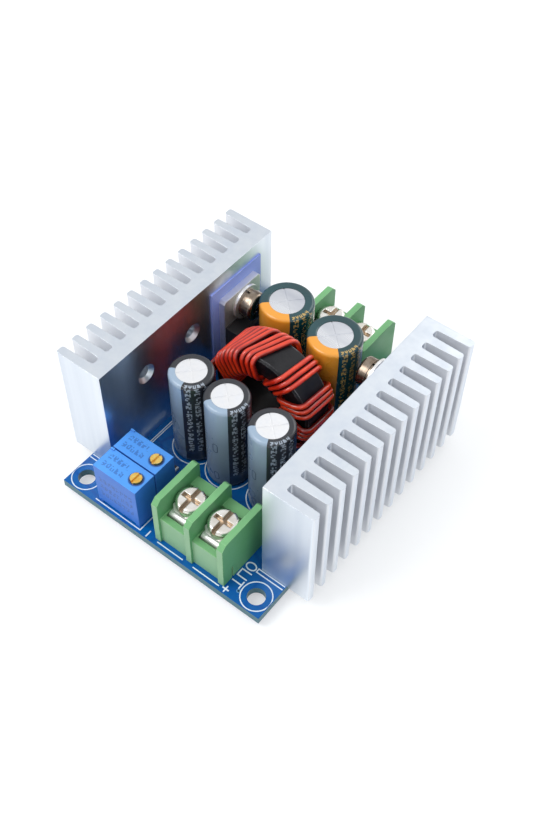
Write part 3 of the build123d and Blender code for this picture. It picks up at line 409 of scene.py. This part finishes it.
def trimmer_paint(centre_y):
    """Dark block print on a trimmer's top and front, painted shade on its sides, and a painted shadow round its screw.
    """
    def paint(w, base):
        spot = w.split(w.place())
        x = w.calc("DIVIDE", spot["X"], MM)
        y = w.calc("DIVIDE", spot["Y"], MM)
        z = w.calc("DIVIDE", spot["Z"], MM)
        top = w.node("ShaderNodeGroup", node_tree=block_print)
        w.join(w.calc("SUBTRACT", x, TRIMMER_PRINT_X), top.inputs["Along"])
        w.join(w.calc("ADD", w.calc("SUBTRACT", y, centre_y), 1.75), top.inputs["Across"])
        front = w.node("ShaderNodeGroup", node_tree=block_print)
        w.join(w.calc("SUBTRACT", x, TRIMMER_PRINT_X + 0.1), front.inputs["Along"])
        w.join(w.calc("SUBTRACT", z, 4.6), front.inputs["Across"])
        set_print(top, 1.75, 0.24, 2, 4.6)
        set_print(front, 2.0, 0.24, 3, 7.6)
        up = facing_up(w)
        ink = w.calc("ADD", w.calc("MULTIPLY", top.outputs["Mask"], up),
                     w.calc("MULTIPLY", front.outputs["Mask"], w.calc("SUBTRACT", 1.0, up)))
        # Painted shade: the sides take a deeper blue than the top.
        base = w.blend(up, (0.035, 0.18, 0.66, 1.0), base)
        off_x, off_y = w.calc("SUBTRACT", x, TRIMMER_SCREW_X), w.calc("SUBTRACT", y, centre_y)
        away = w.calc("SQRT", w.calc("ADD", w.calc("MULTIPLY", off_x, off_x), w.calc("MULTIPLY", off_y, off_y)))
        # Painted shadow: a dark ring on the top round the screw.
        screw_shadow = w.calc("MULTIPLY", w.ramp(away, 1.5, 1.3), up)
        dark = w.calc("MULTIPLY", w.calc("MAXIMUM", screw_shadow, w.calc("MULTIPLY", ink, 0.6)), 0.9)
        return w.blend(dark, base, (0.012, 0.055, 0.26, 1.0))
    return paint


def sleeve_paint(radius, stripe, print_ink, oval_ink, half_angle, shade_at_foot):
    """Stripe with long ovals, and rows of block print beside it, on a sleeve's own map.

    The last argument is the share of the stripe's colour that is left low down, where the stripe darkens as painted
    shade."""
    def paint(w, base):
        wrap = w.split(w.node("ShaderNodeUVMap", uv_map="wrap").outputs["UV"])
        along = w.calc("MULTIPLY", wrap["Y"], WRAP_LENGTH)
        round_mm = 2 * math.pi * radius
        across = w.calc("MULTIPLY", w.calc("SUBTRACT", wrap["X"], 0.5), round_mm)
        half = radius * math.radians(half_angle)
        in_stripe = w.calc("MULTIPLY", w.calc("LESS_THAN", w.calc("ABSOLUTE", across), half),
                           w.calc("LESS_THAN", along, STRIPE_TOP))
        oval = w.node("ShaderNodeGroup", node_tree=outlined_oval)
        repeat = w.calc("SUBTRACT", w.calc("MODULO", w.calc("ADD", along, 1.5), OVAL_EVERY), OVAL_EVERY / 2)
        w.join(repeat, oval.inputs["Along"])
        w.join(w.calc("SUBTRACT", across, 0.2), oval.inputs["Across"])
        # Painted shade: the stripe darkens towards the foot of the sleeve.
        shaded = w.blend(w.ramp(along, 12.0, 20.5), (*[c * shade_at_foot for c in stripe], 1.0), (*stripe, 1.0))
        marks = w.calc("MULTIPLY", oval.outputs["Mask"], w.calc("LESS_THAN", along, OVALS_TOP))
        striped = w.blend(w.calc("MULTIPLY", marks, in_stripe), shaded, (*oval_ink, 1.0))
        text = w.node("ShaderNodeGroup", node_tree=block_print)
        w.join(w.calc("SUBTRACT", across, half + 0.35), text.inputs["Across"])
        w.join(w.calc("SUBTRACT", along, ROWS_FROM), text.inputs["Along"])
        rim = w.node("ShaderNodeGroup", node_tree=block_print)
        w.join(w.calc("SUBTRACT", along, RIM_ROW_FROM), rim.inputs["Across"])
        w.join(w.calc("SUBTRACT", across, half + 0.5), rim.inputs["Along"])
        set_print(text, 1.6, 0.27, 3, ROWS_LENGTH)
        set_print(rim, 1.0, 0.2, 1, 4.2)
        ink = w.calc("MAXIMUM", w.calc("MULTIPLY", text.outputs["Mask"], 0.55),
                     w.calc("MULTIPLY", rim.outputs["Mask"], 0.65))
        inked = w.blend(ink, base, (*print_ink, 1.0))
        return w.blend(in_stripe, inked, striped)
    return paint


silver = finish("fin_aluminium", (0.77, 0.815, 0.87), (0.67, 0.72, 0.79), (0.34, 0.46), metallic=fin_metal, edge=0.12,
                wear_and_highlight=0.5, wear_and_highlight_colour=(0.92, 0.94, 0.97), stretch=(1.0, 1.0, 0.03), lines=2600.0, depth=0.002,
                polish=milled_face, polished=0.31, paint=fin_slot_light)
tin = finish("tinned", (0.90, 0.89, 0.87), (0.80, 0.79, 0.77), (0.28, 0.42), metallic=0.85, edge=0.08,
             fine=1500.0, slow=500.0, depth=0.002)
nickel = finish("screw_nickel", (0.40, 0.33, 0.27), (0.20, 0.15, 0.11), (0.16, 0.3), metallic=1.0, edge=0.15,
                wear_and_highlight=0.5, wear_and_highlight_colour=(0.95, 0.90, 0.82), fine=1800.0, slow=600.0, depth=0.004)
terminal_nickel = finish("terminal_screw_nickel", (0.92, 0.90, 0.86), (0.78, 0.73, 0.66), (0.2, 0.34), metallic=1.0,
                         edge=0.22, wear_and_highlight=0.5, wear_and_highlight_colour=(0.98, 0.96, 0.93), fine=1800.0, slow=600.0, depth=0.004,
                         paint=recess_paint(RECESS_FLOOR_Z))
board_blue = finish("board_blue", (0.001, 0.118, 0.41), (0.001, 0.095, 0.34), (0.24, 0.36), edge=0.05,
                    fine=1400.0, slow=90.0, depth=0.003, paint=board_paint, specular=0.25)
print_white = finish("print_white", (0.78, 0.86, 0.92), (0.66, 0.76, 0.86), (0.5, 0.65), edge=0.02, depth=0.004)
sheet_violet = finish("sheet_violet", (0.29, 0.38, 0.86), (0.24, 0.33, 0.79), (0.34, 0.46), edge=0.12, wear_and_highlight=0.9,
                      wear_and_highlight_colour=(0.66, 0.68, 0.96), fine=2500.0, depth=0.003, coat=0.15)
case_black = finish("case_black", (0.016, 0.016, 0.018), (0.026, 0.026, 0.03), (0.42, 0.58), edge=0.1, wear_and_highlight=0.35,
                    wear_and_highlight_colour=(0.12, 0.12, 0.13), fine=4200.0, depth=0.012)
bush_white = finish("bush_white", (0.62, 0.60, 0.55), (0.52, 0.5, 0.45), (0.4, 0.55), edge=0.1, depth=0.006)
# Painted highlight: the pale edge colour on the core stands for a thin bright line of light along its edges.
core_black = finish("core_black", (0.004, 0.004, 0.006), (0.012, 0.012, 0.015), (0.3, 0.5), edge=0.3, wear_and_highlight=0.8,
                    wear_and_highlight_colour=(0.5, 0.5, 0.54), fine=2600.0, slow=300.0, depth=0.03, specular=0.3)
wire_red = finish("wire_red", (0.84, 0.058, 0.012), (0.54, 0.020, 0.006), (0.3, 0.4), coat=1.0, coat_rough=0.06,
                  specular=0.3, edge=0.02, fine=900.0, slow=260.0, depth=0.006, paint=wire_gap_shade)
can_top = finish("can_aluminium", (0.96, 0.96, 0.97), (0.86, 0.87, 0.90), (0.34, 0.5), metallic=1.0, edge=0.06,
                 wear_and_highlight=0.3, wear_and_highlight_colour=(0.97, 0.97, 0.98), fine=2200.0, slow=620.0, depth=0.006)
wide_top = finish("wide_can_aluminium", (0.97, 0.98, 1.0), (0.58, 0.60, 0.66), (0.2, 0.36), metallic=1.0, edge=0.06,
                  wear_and_highlight=0.5, wear_and_highlight_colour=(0.95, 0.95, 0.97), stretch=(0.2, 1.0, 1.0), lines=1500.0, depth=0.004)
rubber = finish("bung_rubber", (0.03, 0.03, 0.03), (0.05, 0.05, 0.05), (0.6, 0.75), edge=0.1, depth=0.01)
trimmer_blues = [finish(f"trimmer_blue_{k}", (0.075, 0.33, 0.88), (0.065, 0.29, 0.80), (0.38, 0.5), edge=0.14,
                        wear_and_highlight=0.3, wear_and_highlight_colour=(0.3, 0.55, 0.98), fine=3600.0, depth=0.006, paint=trimmer_paint(y))
                 for k, y in enumerate(TRIMMER_ROWS, 1)]
brass = finish("brass", (0.98, 0.70, 0.20), (0.86, 0.50, 0.10), (0.18, 0.34), metallic=1.0, edge=0.14, wear_and_highlight=0.7,
               wear_and_highlight_colour=(1.0, 0.88, 0.55), fine=2400.0, slow=900.0, depth=0.012)
nylon = finish("nylon", (0.80, 0.77, 0.68), (0.72, 0.69, 0.6), (0.45, 0.6), edge=0.06, depth=0.006)
ceramic = finish("ceramic", (0.80, 0.79, 0.75), (0.74, 0.73, 0.7), (0.5, 0.65), edge=0.06, depth=0.006)
terminal_green = finish("terminal_green", (0.19, 0.47, 0.20), (0.155, 0.40, 0.17), (0.40, 0.54), edge=0.22,
                        wear_and_highlight=0.7, wear_and_highlight_colour=(0.46, 0.84, 0.42), fine=3400.0, slow=160.0, depth=0.01,
                        paint=terminal_light_and_shade)
resistor_black = finish("resistor_black", (0.02, 0.02, 0.024), (0.035, 0.035, 0.04), (0.3, 0.45), edge=0.06,
                        fine=3000.0, depth=0.008, coat=0.3, paint=end_caps)
sleeve_black = finish("sleeve_black", (0.012, 0.014, 0.02), (0.018, 0.02, 0.028), (0.26, 0.36), coat=0.5, edge=0.05,
                      fine=1600.0, slow=200.0, depth=0.004,
                      paint=sleeve_paint(SLIM_R, (0.30, 0.40, 0.52), (0.48, 0.56, 0.66), (0.03, 0.05, 0.09),
                                         38.0, 0.6))
sleeve_teal = finish("sleeve_teal", (0.004, 0.052, 0.062), (0.003, 0.038, 0.046), (0.24, 0.34), coat=0.5, edge=0.05,
                     fine=1600.0, slow=200.0, depth=0.004,
                     paint=sleeve_paint(WIDE_R, (0.80, 0.33, 0.03), (0.72, 0.46, 0.12), (0.16, 0.06, 0.01),
                                        44.0, 0.4))


def dress(material, *names):
    """Gives CAD nodes their finish."""
    for name in names:
        for slot in nodes[name].material_slots:
            slot.material = material


dress(silver, "heatsink_left", "heatsink_right")
dress(tin, "device_flat_washers", "heatsink_pins", "device_legs", "device_tab_left", "device_tab_right",
      "capacitor_leads", "trimmer_pins", "chip_pins", "solder_joints", "board_tracks",
      "input_contact_plates", "output_contact_plates",
      *[f"{end}_clamp_{k}" for end in ("input", "output") for k in (1, 2)])
dress(nickel, "device_bolts", "device_spring_washers")
dress(terminal_nickel, *[f"{end}_screw_{k}" for end in ("input", "output") for k in (1, 2)])
dress(board_blue, "circuit_board")
dress(print_white, "printed_legend")
dress(sheet_violet, "insulating_sheet_left", "insulating_sheet_right")
dress(case_black, "device_case_left", "device_case_right", "control_chips")
dress(bush_white, "device_bushes")
dress(core_black, "inductor_core")
dress(can_top, *[f"output_capacitor_can_{k}" for k in (1, 2, 3)])
dress(wide_top, *[f"input_capacitor_can_{k}" for k in (1, 2)])
dress(rubber, "capacitor_bungs")
dress(nylon, "trimmer_wheel_1", "trimmer_wheel_2")
dress(ceramic, "trimmer_element_1", "trimmer_element_2", "trimmer_seals")
dress(brass, "trimmer_screw_1", "trimmer_screw_2")
dress(trimmer_blues[0], "trimmer_housing_1")
dress(trimmer_blues[1], "trimmer_housing_2")
dress(terminal_green, "input_terminal_housing", "output_terminal_housing")
dress(resistor_black, "chip_resistors")
dress(wire_red, "winding_strand_1", "winding_strand_2", "winding_strand_3")


# ---- Pieces

def show(name, data):
    piece = bpy.data.objects.new(name, data)
    bpy.context.scene.collection.objects.link(piece)
    return piece


def bake(name, source, tree, values):
    """The shape a tree makes of the source, as one plain mesh piece."""
    modifier = source.modifiers.new("shape", "NODES")
    modifier.node_group = tree
    for item in tree.interface.items_tree:
        if item.in_out == "INPUT" and item.name in values:
            modifier[item.identifier] = values[item.name]
    graph = bpy.context.evaluated_depsgraph_get()
    mesh = bpy.data.meshes.new_from_object(source.evaluated_get(graph), depsgraph=graph)
    bpy.data.objects.remove(source)
    return show(name, mesh)


def make_solder_tree():
    """One fillet of solder, with a hollow slope, set on every lead and spread to suit it."""
    tree, w, given, out = open_group("solder_fillets", "GeometryNodeTree",
                                     [("Leads", SHAPE, None), ("Fillet", "NodeSocketObject", None),
                                      ("Finish", STUFF, None)], [("Solder", SHAPE)])
    fillet = w.node("GeometryNodeObjectInfo", {"Object": given["Fillet"]}).outputs["Geometry"]
    spread = w.node("GeometryNodeInputNamedAttribute", {"Name": "spread"}, data_type="FLOAT").outputs["Attribute"]
    turn = w.node("FunctionNodeRandomValue", {"Seed": 3}, data_type="FLOAT").outputs[1]
    placed = w.node("GeometryNodeInstanceOnPoints", {
        "Points": given["Leads"], "Instance": fillet, "Scale": w.vector(spread, spread, 1.0),
        "Rotation": w.vector(0.0, 0.0, w.calc("MULTIPLY", turn, 6.283))})
    solid = w.node("GeometryNodeRealizeInstances", {"Geometry": placed.outputs["Instances"]})
    dressed = w.node("GeometryNodeSetMaterial", {"Geometry": solid.outputs["Geometry"], "Material": given["Finish"]})
    w.join(dressed.outputs["Geometry"], out["Solder"])
    return tree


def lead_places():
    """Every lead in the board: x, y and radius in millimetres."""
    leads = [(sx * 18.35, sy * 16.0, 0.75) for sx in (-1, 1) for sy in (-1, 1)]
    leads += [(sx * 14.0, 12.1 + k * 2.54, 0.4) for sx in (-1, 1) for k in (-1, 0, 1)]
    leads += [(x + s * 1.75, y, 0.3) for x, y in SLIM_PLACES for s in (-1, 1)]
    leads += [(x + s * 2.5, y, 0.3) for x, y in WIDE_PLACES for s in (-1, 1)]
    leads += [(-9.55 + k * 2.54, y - 1.175, 0.25) for y in TRIMMER_ROWS for k in (-1, 0, 1)]
    leads += [(6.3 + s * 3.45, -26.6, 0.65) for s in (-1, 1)]
    leads += [(-0.15 + s * 3.45, 27.1, 0.65) for s in (-1, 1)]
    for offset in (-1, 0, 1):
        corners = strand_path(offset)
        leads += [(corner.x, corner.y, WIRE_D / 2) for corner in (corners[0], corners[-1])]
    return leads


def make_solder():
    """Solder under the board, in place of the plain cones."""
    slope = [(1.0 - 0.5 * k / 8, 0.65 * (k / 8) ** 2.2) for k in range(9)]
    profile = [(0.001, FILLET_H), *[(r, FILLET_H - h) for r, h in slope], (0.001, FILLET_H - slope[-1][1])]
    unit = lathe("fillet_unit", profile[::-1], (0.0, 0.0, 0.0), 20, tin, 0.0)
    unit.data.transform(Matrix.Translation((0.0, 0.0, -FILLET_H * MM)))
    places = lead_places()
    mesh = bpy.data.meshes.new("lead_points")
    mesh.from_pydata([(x * MM, y * MM, FILLET_H * MM) for x, y, r in places], [], [])
    spread = mesh.attributes.new("spread", "FLOAT", "POINT")
    for item, (x, y, r) in zip(spread.data, places):
        item.value = r + FILLET_SPREAD
    solder = bake("solder_fillets", show("solder_source", mesh), make_solder_tree(), {"Fillet": unit, "Finish": tin})
    bpy.data.objects.remove(unit)
    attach(solder, "module")
    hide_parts("solder_joints")


def make_strand_tree():
    """Enamelled wire along a bent path: rounds its corners, lets it wander a little and gives it its thickness."""
    tree, w, given, out = open_group("enamelled_strand", "GeometryNodeTree",
                                     [("Path", SHAPE, None), ("Bend", FLOAT, 0.0012), ("Wire Radius", FLOAT, 0.0005),
                                      ("Wander", FLOAT, 0.00005), ("Seed", FLOAT, 0.0), ("Finish", STUFF, None)],
                                     [("Wire", SHAPE)])
    bent = w.node("GeometryNodeFilletCurve", {"Curve": given["Path"], "Count": 7, "Radius": given["Bend"],
                                              "Limit Radius": True}, mode="POLY")
    even = w.node("GeometryNodeResampleCurve", {"Curve": bent.outputs["Curve"], "Length": 0.00035}, mode="LENGTH")
    spot = w.node("GeometryNodeInputPosition").outputs["Position"]
    noise = w.node("ShaderNodeTexNoise", {"Vector": spot, "W": given["Seed"], "Scale": 260.0, "Detail": 1.0},
                   noise_dimensions="4D").outputs["Color"]
    centred = w.node("ShaderNodeVectorMath", operation="SUBTRACT")
    w.join(noise, centred.inputs[0])
    centred.inputs[1].default_value = (0.5, 0.5, 0.5)
    shift = w.node("ShaderNodeVectorMath", operation="SCALE")
    w.join(centred.outputs[0], shift.inputs[0])
    w.join(given["Wander"], shift.inputs["Scale"])
    moved = w.node("GeometryNodeSetPosition", {"Geometry": even.outputs["Curve"], "Offset": shift.outputs[0]})
    ring = w.node("GeometryNodeCurvePrimitiveCircle", {"Resolution": 18, "Radius": given["Wire Radius"]})
    tube = w.node("GeometryNodeCurveToMesh", {"Curve": moved.outputs["Geometry"],
                                              "Profile Curve": ring.outputs["Curve"], "Fill Caps": True})
    smooth = w.node("GeometryNodeSetShadeSmooth", {"Geometry": tube.outputs["Mesh"]})
    solid = w.node("GeometryNodeRealizeInstances", {"Geometry": smooth.outputs["Geometry"]})
    dressed = w.node("GeometryNodeSetMaterial", {"Geometry": solid.outputs["Geometry"], "Material": given["Finish"]})
    w.join(dressed.outputs["Geometry"], out["Wire"])
    return tree


def core_point(radius, angle, y):
    """Point at an angle round the core's own axis, in millimetres."""
    a = math.radians(angle)
    return Vector((CORE_AT.x + radius * math.cos(a), y, CORE_AT.z + radius * math.sin(a)))


def strand_path(offset):
    """Corners of one strand: up from the board, round the core turn by turn, and down again."""
    reach = CORE_W / 2 + WIRE_D / 2 + WIRE_BULGE
    near, far = CORE_AT.y - reach, CORE_AT.y + reach
    outer = CORE_R + WIRE_D / 2 + WIRE_OFF
    inner = CORE_BORE_R - WIRE_D / 2 - WIRE_OFF
    rim = offset * math.degrees(WIRE_STEP / outer)
    bore = offset * math.degrees(WIRE_STEP / inner)
    start = core_point(outer, NEAR_ANGLES[0] + rim, near - (1 - offset) * WIRE_STEP)
    points = [Vector((start.x, start.y, WIRE_END_Z)), start]
    for turn, (a, b, c) in enumerate(zip(NEAR_ANGLES, FAR_ANGLES, BORE_ANGLES)):
        if turn:
            points.append(core_point(outer, a + rim, near))
        points += [core_point(outer, b + rim, far), core_point(inner, c + bore, far),
                   core_point(inner, c + bore, near)]
    last_x = CORE_AT.x + inner * math.cos(math.radians(BORE_ANGLES[-1])) + 0.7 + offset * 1.25
    return points + [Vector((last_x, near, LAST_BEND_Z)), Vector((last_x, near, WIRE_END_Z))]


def make_winding():
    tree = make_strand_tree()
    for number, offset in enumerate((-1, 0, 1), 1):
        curve = bpy.data.curves.new(f"strand_path_{number}", "CURVE")
        curve.dimensions = "3D"
        points = strand_path(offset)
        spline = curve.splines.new("POLY")
        spline.points.add(len(points) - 1)
        for made, point in zip(spline.points, points):
            made.co = (*(point * MM), 1.0)
        strand = bake(f"enamelled_strand_{number}", show(f"strand_source_{number}", curve), tree,
                      {"Bend": WIRE_BEND * MM, "Wire Radius": WIRE_D / 2 * MM, "Wander": WANDER * MM,
                       "Seed": float(number), "Finish": wire_red})
        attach(strand, "module")
        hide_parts(f"winding_strand_{number}")


def lathe(name, profile, centre, segments, finish_used, turn):
    """Closed ring turned from a profile of (radius, height), mapped round and along its surface."""
    rows = len(profile)
    points = []
    for k in range(segments):
        a = turn + 2 * math.pi * k / segments
        points += [(centre[0] + r * math.cos(a), centre[1] + r * math.sin(a), centre[2] + z) for r, z in profile]
    along = [0.0]
    for (r0, z0), (r1, z1) in zip(profile, profile[1:] + profile[:1]):
        along.append(along[-1] + math.hypot(r1 - r0, z1 - z0))
    faces, maps = [], []
    for k in range(segments):
        here, there = k * rows, (k + 1) % segments * rows
        for n in range(rows):
            m = (n + 1) % rows
            faces.append((here + n, there + n, there + m, here + m))
            u0, u1 = k / segments, (k + 1) / segments
            v0, v1 = along[n] / WRAP_LENGTH, along[n + 1] / WRAP_LENGTH
            maps += [(u0, v0), (u1, v0), (u1, v1), (u0, v1)]
    mesh = bpy.data.meshes.new(name)
    mesh.from_pydata([[c * MM for c in p] for p in points], [], faces)
    wrap = mesh.uv_layers.new(name="wrap")
    for loop, uv in zip(wrap.data, maps):
        loop.uv = uv
    mesh.materials.append(finish_used)
    mesh.shade_smooth()
    return show(name, mesh)


def sleeve_profile(radius, height, lip):
    """Shrunk sleeve: waist over the can's crimp, round shoulder, lip over the top, and its thin inside."""
    wall, low, shoulder, crimp_z = 0.16, 0.3, 0.62, 2.2
    steps = 22
    outer = []
    for k in range(steps + 1):
        z = low + (height - shoulder - low) * k / steps
        waist = 0.2 * math.exp(-((z - crimp_z) / 0.55) ** 2) + 0.12 * math.exp(-((z - low) / 0.4) ** 2)
        outer.append((radius - waist, z))
    arc = [(radius - shoulder + shoulder * math.cos(a), height - shoulder + shoulder * math.sin(a))
           for a in [math.radians(90 * k / 8) for k in range(1, 9)]]
    inner_r = radius - lip
    rim = [(inner_r + 0.35, height), (inner_r + 0.06, height - 0.02), (inner_r, height - 0.06)]
    under = [(inner_r + 0.1, height - 0.09), (radius - shoulder, height - wall * 0.6)]
    inside = [(radius - wall - waist, z) for waist, z in
              ((0.12, height - shoulder), (0.03, height - 1.2), (0.03, 3.4), (0.22, crimp_z), (0.06, 1.2), (0.12, low))]
    return outer + arc + rim + under + inside


def make_sleeves():
    """Shrunk sleeves, each turned so that its stripe, half way round its map, faces its own way."""
    rows = [("output_capacitor", SLIM_PLACES, SLIM_R, SLIM_H, 1.3, sleeve_black, "sleeve_black", SLIM_STRIPES),
            ("input_capacitor", WIDE_PLACES, WIDE_R, WIDE_H, 1.8, sleeve_teal, "sleeve_teal", WIDE_STRIPES)]
    for name, places, radius, height, lip, material, slot, stripes in rows:
        for number, ((x, y), stripe) in enumerate(zip(places, stripes), 1):
            piece = lathe(f"{name}_shrunk_sleeve_{number}", sleeve_profile(radius, height, lip),
                          (x, y, BOARD_TOP / MM), 72, material, math.radians(stripe) - math.pi)
            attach(piece, "module")
            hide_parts(f"{name}_sleeve_{number}")


make_winding()
make_sleeves()
make_solder()


# ---- Floor, light and camera

def make_floor():
    mesh = bpy.data.meshes.new("floor")
    half = 1.5
    mesh.from_pydata([(-half, -half, 0), (half, -half, 0), (half, half, 0), (-half, half, 0)], [], [(0, 1, 2, 3)])
    made = bpy.data.materials.new("pale_floor")
    made.use_nodes = True
    tree = made.node_tree
    tree.nodes.clear()
    w = Wiring(tree)
    seen = w.node("ShaderNodeLightPath").outputs
    shown = w.calc("MAXIMUM", w.calc("MAXIMUM", seen["Is Camera Ray"], seen["Is Glossy Ray"]),
                   seen["Is Transmission Ray"])
    paper = w.node("ShaderNodeBsdfDiffuse", {"Color": (0.58, 0.59, 0.6, 1.0)})
    glow = w.node("ShaderNodeEmission", {"Color": (1.0, 1.0, 1.0, 1.0), "Strength": w.calc("MULTIPLY", shown, 0.45)})
    both = w.node("ShaderNodeAddShader")
    tree.links.new(paper.outputs[0], both.inputs[0])
    tree.links.new(glow.outputs[0], both.inputs[1])
    from_below = w.node("ShaderNodeMixShader", {0: w.node("ShaderNodeNewGeometry").outputs["Backfacing"]})
    tree.links.new(both.outputs[0], from_below.inputs[1])
    tree.links.new(w.node("ShaderNodeBsdfTransparent").outputs[0], from_below.inputs[2])
    tree.links.new(from_below.outputs[0], w.node("ShaderNodeOutputMaterial").inputs["Surface"])
    mesh.materials.append(made)
    show("floor", mesh)


def make_sky():
    """Soft studio surround: white where it is seen, gently shaded from the ground up in reflections."""
    world = bpy.data.worlds.new("studio")
    bpy.context.scene.world = world
    world.use_nodes = True
    tree = world.node_tree
    tree.nodes.clear()
    w = Wiring(tree)
    seen = w.node("ShaderNodeLightPath").outputs
    height = w.split(w.node("ShaderNodeTexCoord").outputs["Generated"])["Z"]
    shade = w.ramp(height, 0.0, 0.9, 0.55, 0.95)
    strength = w.calc("MAXIMUM", shade, seen["Is Camera Ray"])
    back = w.node("ShaderNodeBackground", {"Color": (0.97, 0.985, 1.0, 1.0), "Strength": strength})
    tree.links.new(back.outputs[0], w.node("ShaderNodeOutputWorld").inputs["Surface"])


def lamp(name, place, power, size, colour=(1.0, 1.0, 1.0)):
    data = bpy.data.lights.new(name, "AREA")
    data.energy, data.size, data.color = power, size, colour
    made = show(name, data)
    made.location = place
    made.rotation_mode = "QUATERNION"
    made.rotation_quaternion = (Vector(place) - Vector((0, 0, 0.01))).to_track_quat("Z", "Y")


def aim_camera():
    data = bpy.data.cameras.new("photo_view")
    data.lens, data.sensor_width, data.sensor_fit = LENS, 36.0, "AUTO"
    data.clip_start, data.clip_end = 0.01, 10.0
    camera = show("photo_view", data)
    back = LOOK_RIGHT.cross(LOOK_UP)
    turned = Matrix((LOOK_RIGHT, LOOK_UP, back)).transposed().to_4x4()
    turned.translation = EYE
    camera.matrix_world = turned
    bpy.context.scene.camera = camera


make_floor()
make_sky()
lamp("key", (-0.22, -0.25, 0.42), 1.2, 0.3)
lamp("fill", (0.4, -0.15, 0.3), 0.25, 0.35)
lamp("rim", (0.05, 0.4, 0.3), 0.5, 0.3)
aim_camera()
bpy.context.scene.view_settings.view_transform = "Standard"
